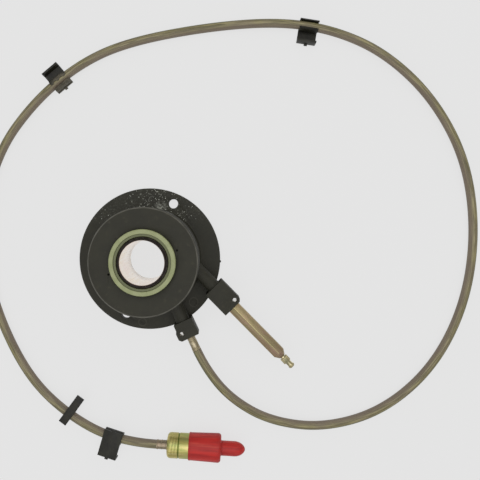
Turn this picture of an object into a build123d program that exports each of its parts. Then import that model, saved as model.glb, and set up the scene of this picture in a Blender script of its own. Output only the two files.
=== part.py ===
from build123d import *
import math
import os

# Concentric clutch slave cylinder. The origin is on the bore's axis at the flange's back face,
# and +Z points along the bore to the piston's face. Lengths are in millimetres, angles in degrees.

# Guide sleeve
BORE_R = 15.1
SLEEVE_WALL = 1.2
SLEEVE_OVER_PISTON = 0.8
SLEEVE_FLANGE_W = 4.7
SLEEVE_FLANGE_T = 1.2
SLEEVE_SEAL_SECTION = 1.9
SLEEVE_SEAL_GROOVE_W = 2.4

# Piston, its seal and its spring
PISTON_WALL = 6.25
PISTON_OVER_DRUM = 4.6
PISTON_LENGTH = 18.0
PISTON_STEP_W = 1.75
PISTON_STEP_DEPTH = 1.2
PISTON_EDGE = 0.6
STOP_RING_W = 1.2
STOP_RING_ROOM = 0.25
STOP_RING_T = 1.4
STOP_RING_GROOVE = 0.5
SEAL_BODY_T = 3.0
SEAL_LIP_T = 0.8
SEAL_LIP_LENGTH = 3.0
SEAL_RIB_W = 1.6
SEAL_BEAD_W = 2.4
SEAL_RIB_T = 1.5
SPRING_SEAT_T = 1.2
SPRING_WIRE = 1.8
SPRING_TURNS = 4.5
SPRING_STEPS = 18
SPRING_CLOSING = 0.75
RUNNING_GAP = 0.05

# Moulded housing
FLANGE_W = 15.6
FLANGE_T = 5.0
FLANGE_EDGE = 0.8
BOLT_FROM_DRUM = 7.6
BOLT_HOLE_R = 3.6
BOLT_ANGLE = 66.8
DRUM_R = 37.9
DRUM_TOP = 47.0
DRUM_EDGE = 1.6
DRUM_DRAFT = 0.7
DRUM_FOOT = 1.5
DRUM_WALL = 3.0
CYLINDER_WALL = 4.0
TOP_WEB = 3.5
CHAMBER_FLOOR = 7.0
RIB_COUNT = 12
RIB_T = 2.4
VENT_R = 0.8
VENT_DEPTH = 3.0
VENT_ANGLE = 19.4
EJECTOR_MARK_R = 2.3
EJECTOR_MARK_DEPTH = 0.2
EJECTOR_MARK_ANGLES = (-44.7, -95.2)
EJECTOR_MARK_FROM_EDGE = 6.0
GATE_W = 1.4
GATE_OUT = 0.7
GATE_ANGLE = -2.3

# Hose port, with its line to the left of the bore axis as seen looking outward
HOSE_ANGLE = -64.9
HOSE_SIDE = 4.15
HOSE_PORT_Z = 14.0
HOSE_NECK_R = 5.2
HOSE_BLOCK_FROM_DRUM = 13.7
HOSE_BLOCK_LENGTH = 13.1
HOSE_BLOCK_HALF = 7.2
HOSE_BLOCK_H = 14.0
HOSE_EAR = 1.0
HOSE_SPIGOT_R = 4.5
HOSE_SPIGOT_INSET = 2.0
HOSE_PIN_FROM_END = 5.1
HOSE_PIN_IN = 0.3
HOSE_TUBE_R = 3.05
HOSE_TUBE_OUT = 11.3

# Bleed port
BLEED_ANGLE = -45.4
BLEED_SIDE = 20.5
BLEED_PORT_Z = 15.0
BLEED_NECK_R = 5.2
BLEED_BLOCK_FROM_DRUM = 10.3
BLEED_BLOCK_LENGTH = 20.6
BLEED_BLOCK_HALF = 8.1
BLEED_BLOCK_H = 15.0
BLEED_SPIGOT_R = 4.0
BLEED_SPIGOT_INSET = 5.8
BLEED_PIN_FROM_END = 3.5
BLEED_PIN_OUT = 0.5
BLEED_HEX_FLATS = 9.0
BLEED_HEX_LENGTH = 47.4
BLEED_CONE_LENGTH = 4.2
BLEED_CONE_END_R = 2.5

# What both ports share
PASSAGE_R = 1.5
PASSAGE_BOSS_R = 3.6
GUSSET_T = 5.0
BLOCK_CHAMFER = 1.8
BLOCK_EDGE = 0.5
EAR_LENGTH = 6.6
SOCKET_GAP = 0.05
PORT_SEAL_SECTION = 1.5
PORT_SEAL_AFTER = 1.6
PORT_SEAL_GROOVE_W = 1.9
FLUID_R = 1.1
PIN_R = 1.75
PIN_WALL = 0.4
PIN_SLOT = 0.8
PIN_SINK = 0.4
PIN_GROOVE_GAP = 0.05

# Bleed screw
SCREW_SHANK_R = 2.0
SCREW_SHANK_LENGTH = 11.0
SCREW_SEAT_LENGTH = 2.4
SCREW_NECK_R = 1.6
SCREW_NECK_LENGTH = 1.4
SCREW_HEX_FLATS = 5.7
SCREW_HEX_LENGTH = 4.0
SCREW_NIPPLE_R = 2.0
SCREW_NIPPLE_LENGTH = 3.4
SCREW_BARB_R = 2.5
SCREW_BARB_LENGTH = 1.9
SCREW_BORE_R = 0.8
SCREW_CROSS_R = 0.6

# Hose route: points of the bends, with the height of each above the hose's lowest lie
HOSE_R = 3.2
HOSE_FLOOR_GAP = 0.2
HOSE_FIRST_RUN = 15.0
HOSE_LAST_RUN = 17.0
HOSE_ROUTE = [
    (61.0, -104.0, 8.0),
    (91.5, -123.0, 2.6),
    (133.5, -129.0, 0.0),
    (178.0, -115.0, 0.0),
    (216.0, -82.0, 0.0),
    (240.0, -34.5, 0.0),
    (248.0, 20.5, 0.0),
    (240.5, 75.5, 0.0),
    (216.5, 122.5, 0.0),
    (180.5, 156.0, 0.3),
    (142.0, 174.0, 1.3),
    (100.0, 180.5, 1.3),
    (46.5, 177.5, 0.0),
    (-13.5, 166.0, 0.3),
    (-50.2, 149.3, 1.3),
    (-85.2, 119.5, 1.3),
    (-116.5, 79.5, 0.3),
    (-129.5, 22.0, 0.0),
    (-120.5, -29.5, 0.0),
    (-101.5, -75.0, 0.2),
    (-77.6, -104.0, 0.9),
    (-43.2, -129.2, 1.8),
]
RUN_SHARE = 0.45

# Moulded clips on the hose
CLIP_WALL = 1.4
CLIP_LENGTH = 14.2
CLIP_REACH = 13.0
LAST_CLIP_REACH = 15.3
CLIP_LEG = 7.1
CLIP_MOUTH = 5.2
CLIP_NUB_W = 2.4
CLIP_NUB_OUT = 1.2
STRAP_LENGTH = 6.2
STRAP_LONG_REACH = 15.1
STRAP_SHORT_REACH = 8.4
STRAP_T = 1.8
BACK_DOWN = Rot(180, 0, 0)
CHANNEL_OUT = Rot(0, 180, 0)
BACK_DOWN_CHANNEL_OUT = Rot(0, 0, 180)

# Quick coupling: its axis starts at the middle of the back face
COUPLING_BACK = (13.8, -139.5, 9.3)
COUPLING_HEADING = -2.5
COUPLING_PITCH = 2.1
COUPLING_R = 9.1
COUPLING_BACK_EDGE = 2.6
COUPLING_LENGTH = 34.0
COUPLING_GROOVE_AT = 8.2
COUPLING_GROOVE_W = 1.2
COUPLING_GROOVE_DEPTH = 0.6
COUPLING_WALL = 1.6
COUPLING_FLOOR = 20.0
FERRULE_R = 3.5
FERRULE_LENGTH = 8.0
PROBE_R = 3.9
PROBE_SEAT = 8.0
PROBE_END = 51.0
PROBE_TIP_CHAMFER = 1.2
PROBE_WALL = 1.5
PROBE_CHAMBER_START = 30.0
PROBE_NOSE_T = 3.0
PROBE_NOSE_HOLE_R = 1.6
PROBE_SEAL_SECTION = 1.2
PROBE_SEAL_BACK = 5.0
PROBE_SEAL_GROOVE_W = 1.6
PROBE_SEAL_STAND = 0.15
POPPET_HEAD_GAP = 0.2
POPPET_HEAD_T = 2.0
POPPET_TIP_R = 1.2
POPPET_TIP_OUT = 1.2
POPPET_STEM_R = 0.9
POPPET_STEM_LENGTH = 9.0
POPPET_STOP_GAP = 0.05
POPPET_SPRING_R = 1.9
POPPET_SPRING_WIRE = 0.6
POPPET_SPRING_TURNS = 9
POPPET_SPRING_STEPS = 10
POPPET_SPRING_CLOSING = 0.6

# Vinyl cap over the coupling
CAP_MOUTH = 16.2
CAP_LENGTH = 24.0
CAP_GAP = 0.1
CAP_FLARE = 0.7
CAP_WALL = 0.5
CAP_END_WALL = 1.0
CAP_END_EDGE = 1.4
CAP_NOSE_GAP = 0.6
CAP_NOSE_WALL = 0.8
CAP_OGIVE_LENGTH = 6.5
CAP_TIP_GAP = 5.0

# Sizes that follow from the ones above
sleeve_r = BORE_R + SLEEVE_WALL
sleeve_flange_r = sleeve_r + SLEEVE_FLANGE_W
piston_r = sleeve_r + RUNNING_GAP + PISTON_WALL
piston_top = DRUM_TOP + PISTON_OVER_DRUM
piston_bottom = piston_top - PISTON_LENGTH
sleeve_top = piston_top + SLEEVE_OVER_PISTON
cylinder_r = piston_r + RUNNING_GAP
hub_r = cylinder_r + CYLINDER_WALL
stop_ring_r = sleeve_r + STOP_RING_W
stop_ring_z = piston_top - PISTON_STEP_DEPTH - STOP_RING_T
annulus_r = (sleeve_r + cylinder_r) / 2
spring_top = piston_bottom - SEAL_BODY_T - SPRING_SEAT_T
flange_r = DRUM_R + FLANGE_W
bolt_circle_r = DRUM_R + BOLT_FROM_DRUM
hose_block_start = DRUM_R + HOSE_BLOCK_FROM_DRUM
hose_block_end = hose_block_start + HOSE_BLOCK_LENGTH
hose_spigot_start = hose_block_start + HOSE_SPIGOT_INSET
hose_pin_along = hose_block_end - HOSE_PIN_FROM_END
hose_pin_side = -(HOSE_SPIGOT_R - HOSE_PIN_IN)
hose_tube_end = hose_block_end + HOSE_TUBE_OUT
bleed_block_start = DRUM_R + BLEED_BLOCK_FROM_DRUM
bleed_block_end = bleed_block_start + BLEED_BLOCK_LENGTH
bleed_spigot_start = bleed_block_start + BLEED_SPIGOT_INSET
bleed_pin_along = bleed_block_end - BLEED_PIN_FROM_END
bleed_pin_side = BLEED_SPIGOT_R + BLEED_PIN_OUT
bleed_hex_end = bleed_block_end + BLEED_HEX_LENGTH
hose_lie = HOSE_R + HOSE_FLOOR_GAP
ring_r = HOSE_R + CLIP_WALL
probe_chamber_r = PROBE_R - PROBE_WALL
probe_groove_r = PROBE_R + PROBE_SEAL_STAND - PROBE_SEAL_SECTION
poppet_head_r = probe_chamber_r - POPPET_HEAD_GAP
cap_mouth_r = COUPLING_R + CAP_GAP + CAP_WALL
cap_end_r = cap_mouth_r + CAP_FLARE
cap_nose_r = PROBE_R + CAP_NOSE_GAP + CAP_NOSE_WALL
cap_end_z = CAP_MOUTH + CAP_LENGTH
cap_tip_z = PROBE_END + POPPET_TIP_OUT + CAP_TIP_GAP + CAP_END_WALL


def turned(points, radii=None):
    """Solid of revolution about Z from (radius, height) points and one fillet radius per point."""
    radii = radii or [0] * len(points)
    outline = FilletPolyline(*points, radius=radii, close=True)
    return revolve(Plane.XZ * make_face(outline), Axis.Z)


def rod(radius, start, end):
    """Round bar along Z between two heights."""
    return Pos(0, 0, start) * Cylinder(radius, end - start, align=(Align.CENTER, Align.CENTER, Align.MIN))


def tube(outer, inner, start, end):
    return rod(outer, start, end) - rod(inner, start, end)


def hexagon(flats, start, end):
    """Hexagon bar along Z with a corner up the local Y axis."""
    section = RegularPolygon(flats / 2, 6, major_radius=False, rotation=30)
    return Pos(0, 0, start) * extrude(section, amount=end - start)


def port_frame(angle, side, height):
    """Frame with Z outward along a port, X to the left and Y up."""
    out = Vector(math.cos(math.radians(angle)), math.sin(math.radians(angle)), 0)
    left = Vector(-out.Y, out.X, 0)
    return Plane(origin=left * side + Vector(0, 0, height), x_dir=left, z_dir=out).location


def o_ring(seat_r, section, height):
    """O-ring of eight-sided section whose inner side sits on a round of radius seat_r."""
    ring = RegularPolygon(section / 2, 8, major_radius=False, rotation=22.5)
    return revolve(Plane.XZ * Pos(seat_r + section / 2, height) * ring, Axis.Z)


def coil(radius, wire, start, end, turns, steps, closing):
    """Coil spring along Z between two seats, its pitch least at the ends, in short straight steps."""
    rise = end - start - wire
    count = round(turns * steps)
    points = []
    for i in range(count + 1):
        part = i / count
        turn = 2 * math.pi * turns * part
        share = part - closing * math.sin(2 * math.pi * part) / (2 * math.pi)
        points.append((radius * math.cos(turn), radius * math.sin(turn), start + wire / 2 + rise * share))
    path = Polyline(*points)
    section = Plane(origin=path @ 0, z_dir=path % 0) * RegularPolygon(wire / 2, 6)
    return sweep(section, path=path, transition=Transition.RIGHT)


hose_port = port_frame(HOSE_ANGLE, HOSE_SIDE, HOSE_PORT_Z)
bleed_port = port_frame(BLEED_ANGLE, BLEED_SIDE, BLEED_PORT_Z)


def make_guide_sleeve():
    sleeve = tube(sleeve_r, BORE_R, 0, sleeve_top) + tube(sleeve_flange_r, BORE_R, 0, SLEEVE_FLANGE_T)
    groove_r = sleeve_r - STOP_RING_GROOVE
    return sleeve - tube(sleeve_r + 1, groove_r, stop_ring_z, stop_ring_z + STOP_RING_T)


def make_stop_ring():
    return tube(stop_ring_r, sleeve_r - STOP_RING_GROOVE, stop_ring_z, stop_ring_z + STOP_RING_T)


def port_block(half, start, end, height, pin_side, ear=0):
    """Block of a port in the port's frame, with an ear beside the pin where one is asked for."""
    side = math.copysign(1, pin_side)
    wide = half + ear
    outline = [
        (-side * half, start),
        (-side * half, end),
        (side * (wide - BLOCK_CHAMFER), end),
        (side * wide, end - BLOCK_CHAMFER),
    ]
    if ear:
        outline += [(side * wide, end - EAR_LENGTH), (side * half, end - EAR_LENGTH - 2 * ear)]
    outline.append((side * half, start))
    radii = [BLOCK_EDGE] * len(outline)
    face = Plane.XZ * make_face(FilletPolyline(*outline, radius=radii, close=True))
    return extrude(face, amount=height / 2, both=True)


def port_solid(frame, height, neck_r, block, block_start):
    """Neck, block and gusset of a port, joined to the drum."""
    root = cylinder_r + CYLINDER_WALL / 2
    neck = rod(neck_r, root, block_start + 1)
    gusset_h = height - FLANGE_T / 2
    gusset = Pos(0, -gusset_h / 2, (DRUM_R + block_start) / 2) * Box(
        GUSSET_T, gusset_h, block_start - DRUM_R + 2 * DRUM_WALL
    )
    return frame * (neck + gusset + block)


def port_cuts(frame, spigot_r, spigot_start, passage_start, block_end, pin_side, pin_along, block_h):
    """Socket, passage to the pressure chamber and cross hole for the pin."""
    socket = rod(spigot_r + SOCKET_GAP, spigot_start - SOCKET_GAP, block_end + 1)
    passage = rod(PASSAGE_R, passage_start, spigot_start)
    pin_hole = Pos(pin_side, 0, pin_along) * Rot(90, 0, 0) * Cylinder(PIN_R, block_h + 2)
    return frame * (socket + passage + pin_hole)


def cores():
    """Pockets that the mould leaves in the back of the drum between its ribs."""
    pocket_r = DRUM_R - DRUM_WALL
    pockets = tube(pocket_r, hub_r, 0, DRUM_TOP - TOP_WEB)
    for i in range(RIB_COUNT):
        rib = Rot(0, 0, (i + 0.5) * 360 / RIB_COUNT) * Pos(pocket_r / 2, 0, DRUM_TOP / 2)
        pockets -= rib * Box(pocket_r + 2, RIB_T, DRUM_TOP)
    pockets -= hose_port * rod(PASSAGE_BOSS_R, 0, DRUM_R)
    pockets -= bleed_port * rod(PASSAGE_BOSS_R, 0, DRUM_R)
    return pockets


def make_housing():
    pocket_r = DRUM_R - DRUM_WALL
    outside = turned(
        [
            (pocket_r, 0),
            (flange_r, 0),
            (flange_r, FLANGE_T - FLANGE_EDGE),
            (flange_r - FLANGE_EDGE, FLANGE_T),
            (DRUM_R + DRUM_DRAFT, FLANGE_T),
            (DRUM_R, DRUM_TOP),
            (pocket_r, DRUM_TOP),
        ],
        [0, 0, 0, 0, DRUM_FOOT, DRUM_EDGE, 0],
    )
    body = outside + rod(pocket_r, 0, DRUM_TOP)
    hose_block = port_block(
        HOSE_BLOCK_HALF, hose_block_start, hose_block_end, HOSE_BLOCK_H, hose_pin_side, HOSE_EAR
    )
    bleed_block = port_block(
        BLEED_BLOCK_HALF, bleed_block_start, bleed_block_end, BLEED_BLOCK_H, bleed_pin_side
    )
    body += port_solid(hose_port, HOSE_PORT_Z, HOSE_NECK_R, hose_block, hose_block_start)
    body += port_solid(bleed_port, BLEED_PORT_Z, BLEED_NECK_R, bleed_block, bleed_block_start)
    body += Rot(0, 0, GATE_ANGLE) * Pos(flange_r, 0, FLANGE_T / 2) * Box(2 * GATE_OUT, GATE_W, FLANGE_T / 2)

    body -= cores()
    body -= rod(cylinder_r, CHAMBER_FLOOR, DRUM_TOP + 1)
    body -= rod(sleeve_r, -1, CHAMBER_FLOOR + 1)
    body -= rod(sleeve_flange_r + SOCKET_GAP, -1, SLEEVE_FLANGE_T)
    seal_z = (SLEEVE_FLANGE_T + CHAMBER_FLOOR) / 2
    body -= rod(
        sleeve_r + SLEEVE_SEAL_SECTION,
        seal_z - SLEEVE_SEAL_GROOVE_W / 2,
        seal_z + SLEEVE_SEAL_GROOVE_W / 2,
    )
    hose_passage = math.sqrt(annulus_r**2 - HOSE_SIDE**2)
    body -= port_cuts(
        hose_port, HOSE_SPIGOT_R, hose_spigot_start, hose_passage,
        hose_block_end, hose_pin_side, hose_pin_along, HOSE_BLOCK_H,
    )
    body -= port_cuts(
        bleed_port, BLEED_SPIGOT_R, bleed_spigot_start, PASSAGE_R,
        bleed_block_end, bleed_pin_side, bleed_pin_along, BLEED_BLOCK_H,
    )
    for turn in (0, 180):
        body -= Rot(0, 0, BOLT_ANGLE + turn) * Pos(bolt_circle_r, 0, 0) * rod(BOLT_HOLE_R, -1, FLANGE_T + 1)
        vent = Pos(cylinder_r + CYLINDER_WALL / 2, 0, 0) * rod(VENT_R, DRUM_TOP - VENT_DEPTH, DRUM_TOP + 1)
        body -= Rot(0, 0, VENT_ANGLE + turn) * vent
    for angle in EJECTOR_MARK_ANGLES:
        mark = rod(EJECTOR_MARK_R, FLANGE_T - EJECTOR_MARK_DEPTH, FLANGE_T + 1)
        body -= Rot(0, 0, angle) * Pos(flange_r - EJECTOR_MARK_FROM_EDGE, 0, 0) * mark
    return body


def make_sleeve_seal():
    return o_ring(sleeve_r, SLEEVE_SEAL_SECTION, (SLEEVE_FLANGE_T + CHAMBER_FLOOR) / 2)


def seal_rib(extra=0):
    """Rib and bead that hold the seal in the piston, as (radius, height) points."""
    neck = SEAL_RIB_W / 2
    bead = SEAL_BEAD_W / 2
    top = piston_bottom + 2 * SEAL_RIB_T
    return [
        (annulus_r - neck, piston_bottom - extra),
        (annulus_r - neck, piston_bottom + SEAL_RIB_T),
        (annulus_r - bead, piston_bottom + SEAL_RIB_T),
        (annulus_r - bead, top),
        (annulus_r + bead, top),
        (annulus_r + bead, piston_bottom + SEAL_RIB_T),
        (annulus_r + neck, piston_bottom + SEAL_RIB_T),
        (annulus_r + neck, piston_bottom - extra),
    ]


def make_piston():
    inner = sleeve_r + RUNNING_GAP
    ring_pocket = stop_ring_r + STOP_RING_ROOM
    step_r = ring_pocket + PISTON_STEP_W
    body = turned(
        [
            (inner, piston_bottom),
            (piston_r, piston_bottom),
            (piston_r, piston_top - PISTON_EDGE),
            (piston_r - PISTON_EDGE, piston_top),
            (step_r + PISTON_EDGE / 2, piston_top),
            (step_r, piston_top - PISTON_EDGE / 2),
            (step_r, piston_top - PISTON_STEP_DEPTH),
            (ring_pocket, piston_top - PISTON_STEP_DEPTH),
            (ring_pocket, stop_ring_z - RUNNING_GAP),
            (inner, stop_ring_z - RUNNING_GAP),
        ]
    )
    return body - turned(seal_rib())


def make_piston_seal():
    inner = sleeve_r + RUNNING_GAP
    lip_z = piston_bottom - SEAL_BODY_T - SEAL_LIP_LENGTH
    floor_z = piston_bottom - SEAL_BODY_T
    body = turned(
        [
            (inner, lip_z),
            (inner + SEAL_LIP_T, lip_z),
            (inner + SEAL_LIP_T, floor_z),
            (piston_r - SEAL_LIP_T, floor_z),
            (piston_r - SEAL_LIP_T, lip_z),
            (piston_r, lip_z),
            (piston_r, piston_bottom),
            (inner, piston_bottom),
        ]
    )
    return body + turned(seal_rib(extra=SEAL_BODY_T / 2))


def make_spring_seat():
    inner = sleeve_r + RUNNING_GAP + SEAL_LIP_T
    outer = piston_r - SEAL_LIP_T
    return tube(outer, inner, spring_top, spring_top + SPRING_SEAT_T)


def make_preload_spring():
    return coil(
        annulus_r, SPRING_WIRE, CHAMBER_FLOOR, spring_top, SPRING_TURNS, SPRING_STEPS, SPRING_CLOSING
    )


def spigot(radius, start, end, pin_along, pin_reach):
    """Plug-in end with an O-ring groove and a groove for the retaining pin."""
    seal_at = start + PORT_SEAL_AFTER
    body = rod(radius, start, end)
    body -= tube(radius + 1, radius - PORT_SEAL_SECTION, seal_at, seal_at + PORT_SEAL_GROOVE_W)
    half = PIN_R + PIN_GROOVE_GAP
    return body - tube(radius + 1, pin_reach - half, pin_along - half, pin_along + half)


def spigot_seal(radius, start):
    middle = start + PORT_SEAL_AFTER + PORT_SEAL_GROOVE_W / 2
    return o_ring(radius - PORT_SEAL_SECTION, PORT_SEAL_SECTION, middle)


def make_hose_fitting():
    body = spigot(HOSE_SPIGOT_R, hose_spigot_start, hose_block_end - 1, hose_pin_along, abs(hose_pin_side))
    body += rod(HOSE_TUBE_R, hose_block_end - 2, hose_tube_end)
    return hose_port * (body - rod(FLUID_R, hose_spigot_start - 1, hose_tube_end + 1))


def make_hose_fitting_seal():
    return hose_port * spigot_seal(HOSE_SPIGOT_R, hose_spigot_start)


def retaining_pin(side, along, block_h):
    """Rolled spring pin with its slot, upright in its block."""
    length = block_h - 2 * PIN_SINK
    body = Cylinder(PIN_R, length) - Cylinder(PIN_R - PIN_WALL, length)
    body -= Pos(PIN_R, 0, 0) * Box(2 * PIN_R, PIN_SLOT, length)
    return Pos(side, 0, along) * Rot(90, 0, 0) * body


def make_hose_retaining_pin():
    return hose_port * retaining_pin(hose_pin_side, hose_pin_along, HOSE_BLOCK_H)


def make_bleed_retaining_pin():
    return bleed_port * retaining_pin(bleed_pin_side, bleed_pin_along, BLEED_BLOCK_H)


def make_bleed_tube():
    screw_bore = SCREW_SHANK_R + RUNNING_GAP
    cone_end = bleed_hex_end + BLEED_CONE_LENGTH
    corner_r = BLEED_HEX_FLATS / 2 / math.cos(math.radians(30))
    bar = hexagon(BLEED_HEX_FLATS, bleed_block_end, cone_end)
    bar &= turned(
        [
            (0, bleed_block_end),
            (corner_r, bleed_block_end),
            (corner_r, bleed_hex_end),
            (BLEED_CONE_END_R, cone_end),
            (0, cone_end),
        ]
    )
    body = bar + spigot(
        BLEED_SPIGOT_R, bleed_spigot_start, bleed_block_end + 1, bleed_pin_along, bleed_pin_side
    )
    shank_start = cone_end - SCREW_SHANK_LENGTH
    body -= rod(FLUID_R, bleed_spigot_start - 1, shank_start)
    seat_start = shank_start - SCREW_SEAT_LENGTH
    body -= turned(
        [
            (0, seat_start),
            (FLUID_R, seat_start),
            (screw_bore, shank_start),
            (screw_bore, cone_end + 1),
            (0, cone_end + 1),
        ]
    )
    return bleed_port * body


def make_bleed_tube_seal():
    return bleed_port * spigot_seal(BLEED_SPIGOT_R, bleed_spigot_start)


def make_bleed_screw():
    mouth = bleed_hex_end + BLEED_CONE_LENGTH
    shank_start = mouth - SCREW_SHANK_LENGTH
    seat_tip = shank_start - SCREW_SEAT_LENGTH + 3 * RUNNING_GAP
    hex_start = mouth + SCREW_NECK_LENGTH
    hex_end = hex_start + SCREW_HEX_LENGTH
    barb_start = hex_end + SCREW_NIPPLE_LENGTH
    tip = barb_start + SCREW_BARB_LENGTH
    body = turned(
        [
            (0, seat_tip),
            (FLUID_R - RUNNING_GAP, seat_tip),
            (SCREW_SHANK_R, shank_start + 3 * RUNNING_GAP),
            (SCREW_SHANK_R, mouth),
            (SCREW_NECK_R, mouth),
            (SCREW_NECK_R, hex_start + 0.5),
            (SCREW_NIPPLE_R, hex_start + 0.5),
            (SCREW_NIPPLE_R, barb_start),
            (SCREW_BARB_R, barb_start + SCREW_BARB_LENGTH / 2),
            (SCREW_NIPPLE_R, tip),
            (0, tip),
        ]
    )
    body += hexagon(SCREW_HEX_FLATS, hex_start, hex_end)
    cross_z = shank_start + SCREW_SEAT_LENGTH
    body -= rod(SCREW_BORE_R, cross_z - SCREW_BORE_R, tip + 1)
    body -= Pos(0, 0, cross_z) * Rot(90, 0, 0) * Cylinder(SCREW_CROSS_R, 3 * SCREW_SHANK_R)
    return bleed_port * body


coupling = (
    Pos(*COUPLING_BACK)
    * Rot(0, 0, COUPLING_HEADING)
    * Rot(0, 90 - COUPLING_PITCH, 0)
)


def place(frame, x, y, z):
    """Point of a local frame in the frame of the whole part."""
    return (frame * Pos(x, y, z)).position


def hose_points():
    first = place(hose_port, 0, 0, hose_tube_end)
    bend = place(hose_port, 0, 0, hose_tube_end + HOSE_FIRST_RUN)
    last_bend = place(coupling, 0, 0, -FERRULE_LENGTH - HOSE_LAST_RUN)
    last = place(coupling, 0, 0, -FERRULE_LENGTH)
    middle = [Vector(x, y, hose_lie + lift) for x, y, lift in HOSE_ROUTE]
    return [first, bend, *middle, last_bend, last]


def bend_radii(points):
    """Radius of each bend: as large as the shorter of its two runs allows."""
    radii = []
    for before, corner, after in zip(points, points[1:], points[2:]):
        run_in = corner - before
        run_out = after - corner
        turn = run_in.get_angle(run_out)
        radii.append(RUN_SHARE * min(run_in.length, run_out.length) / math.tan(math.radians(turn) / 2))
    return radii


def make_line_hose():
    points = hose_points()
    radii = bend_radii(points)
    path = FilletPolyline(*points, radius=radii)
    start = Plane(origin=path @ 0, z_dir=path % 0)
    hose = sweep(start * Circle(HOSE_R), path=path)
    expected = math.pi * HOSE_R**2 * path.length
    print("hose bend radii", [round(r, 1) for r in radii])
    print("hose length", round(path.length, 1))
    print("hose volume / (section x length)", round(hose.volume / expected, 5))
    return hose


def clip_frame(run, turn=Rot(0, 0, 0)):
    """Frame at the middle of a run of the hose: Z along it, X to the inside of the loop, Y up."""
    points = hose_points()
    start, end = points[run], points[run + 1]
    along = (end - start).normalized()
    inward = Vector(-along.Y, along.X, 0).normalized()
    frame = Plane(origin=(start + end) / 2, x_dir=inward, z_dir=along).location
    return frame * turn


def double_clip(frame, hose, reach=CLIP_REACH, channel_nub=False, ring_nub=False):
    """Two jaws under one back: a ring on the hose, open below, and an empty channel beside it."""
    back = Pos((reach - ring_r) / 2, ring_r - CLIP_WALL / 2, 0) * Box(reach + ring_r, CLIP_WALL, CLIP_LENGTH)
    leg = Pos(reach - CLIP_WALL / 2, ring_r - CLIP_LEG / 2, 0) * Box(CLIP_WALL, CLIP_LEG, CLIP_LENGTH)
    clip = Cylinder(ring_r, CLIP_LENGTH) + back + leg
    nub = Box(2 * CLIP_NUB_OUT, CLIP_WALL, CLIP_NUB_W)
    if channel_nub:
        clip += Pos(reach, ring_r - CLIP_WALL / 2, 0) * nub
    if ring_nub:
        clip += Pos(-ring_r, ring_r - CLIP_WALL / 2, 0) * nub
    mouth = Pos(0, -ring_r, 0) * Box(CLIP_MOUTH, 2 * HOSE_R, CLIP_LENGTH)
    return frame * (clip - mouth) - hose


def strap_clip(frame, hose):
    """Narrow closed ring on the hose with a flat bar across its back."""
    span = STRAP_LONG_REACH + STRAP_SHORT_REACH
    middle = (STRAP_LONG_REACH - STRAP_SHORT_REACH) / 2
    bar = Pos(middle, ring_r - STRAP_T / 2, 0) * Box(span, STRAP_T, STRAP_LENGTH)
    return frame * (Cylinder(ring_r, STRAP_LENGTH) + bar) - hose


def make_coupling_ferrule():
    return coupling * tube(FERRULE_R, FLUID_R, -FERRULE_LENGTH, 0)


def make_coupling_body():
    shell_r = COUPLING_R - COUPLING_WALL
    body = turned(
        [
            (FLUID_R, 0),
            (COUPLING_R, 0),
            (COUPLING_R, COUPLING_LENGTH),
            (shell_r, COUPLING_LENGTH),
            (shell_r, COUPLING_FLOOR),
            (PROBE_R, COUPLING_FLOOR),
            (PROBE_R, PROBE_SEAT),
            (FLUID_R, PROBE_SEAT),
        ],
        [0, COUPLING_BACK_EDGE, 0, 0, 0, 0, 0, 0],
    )
    groove_r = COUPLING_R - COUPLING_GROOVE_DEPTH
    body -= tube(COUPLING_R + 1, groove_r, COUPLING_GROOVE_AT, COUPLING_GROOVE_AT + COUPLING_GROOVE_W)
    return coupling * body


def make_coupling_probe():
    inner_end = PROBE_END - PROBE_NOSE_T
    body = turned(
        [
            (FLUID_R, PROBE_SEAT),
            (PROBE_R, PROBE_SEAT),
            (PROBE_R, PROBE_END - PROBE_TIP_CHAMFER),
            (PROBE_R - PROBE_TIP_CHAMFER, PROBE_END),
            (PROBE_NOSE_HOLE_R, PROBE_END),
            (PROBE_NOSE_HOLE_R, inner_end),
            (probe_chamber_r, inner_end),
            (probe_chamber_r, PROBE_CHAMBER_START),
            (FLUID_R, PROBE_CHAMBER_START),
        ]
    )
    groove_start = PROBE_END - PROBE_SEAL_BACK - PROBE_SEAL_GROOVE_W / 2
    body -= tube(PROBE_R + 1, probe_groove_r, groove_start, groove_start + PROBE_SEAL_GROOVE_W)
    return coupling * body


def make_probe_seal():
    return coupling * o_ring(probe_groove_r, PROBE_SEAL_SECTION, PROBE_END - PROBE_SEAL_BACK)


poppet_face = PROBE_END - PROBE_NOSE_T - POPPET_STOP_GAP


def make_poppet():
    head_start = poppet_face - POPPET_HEAD_T
    body = rod(POPPET_STEM_R, head_start - POPPET_STEM_LENGTH, head_start + 1)
    body += rod(poppet_head_r, head_start, poppet_face)
    body += rod(POPPET_TIP_R, poppet_face - 1, PROBE_END + POPPET_TIP_OUT)
    return coupling * body


def make_poppet_spring():
    end = poppet_face - POPPET_HEAD_T
    return coupling * coil(
        POPPET_SPRING_R, POPPET_SPRING_WIRE, PROBE_CHAMBER_START, end,
        POPPET_SPRING_TURNS, POPPET_SPRING_STEPS, POPPET_SPRING_CLOSING,
    )


def cap_shell(mouth_r, end_r, end_z, nose_r, tip_z):
    """Body of revolution of the cap: flared skirt, shoulder and nose with a rounded tip."""
    shoulder = tip_z - CAP_OGIVE_LENGTH
    on_ogive = (0.62 * nose_r, tip_z - 0.28 * CAP_OGIVE_LENGTH)
    skirt = Polyline(
        (0, CAP_MOUTH), (mouth_r, CAP_MOUTH), (end_r, end_z), (nose_r, end_z), (nose_r, shoulder)
    )
    ogive = Spline((nose_r, shoulder), on_ogive, (0, tip_z), tangents=[(0, 1), (-1, 0.2)])
    outline = skirt + ogive + Line((0, tip_z), (0, CAP_MOUTH))
    return revolve(Plane.XZ * make_face(outline), Axis.Z)


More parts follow.
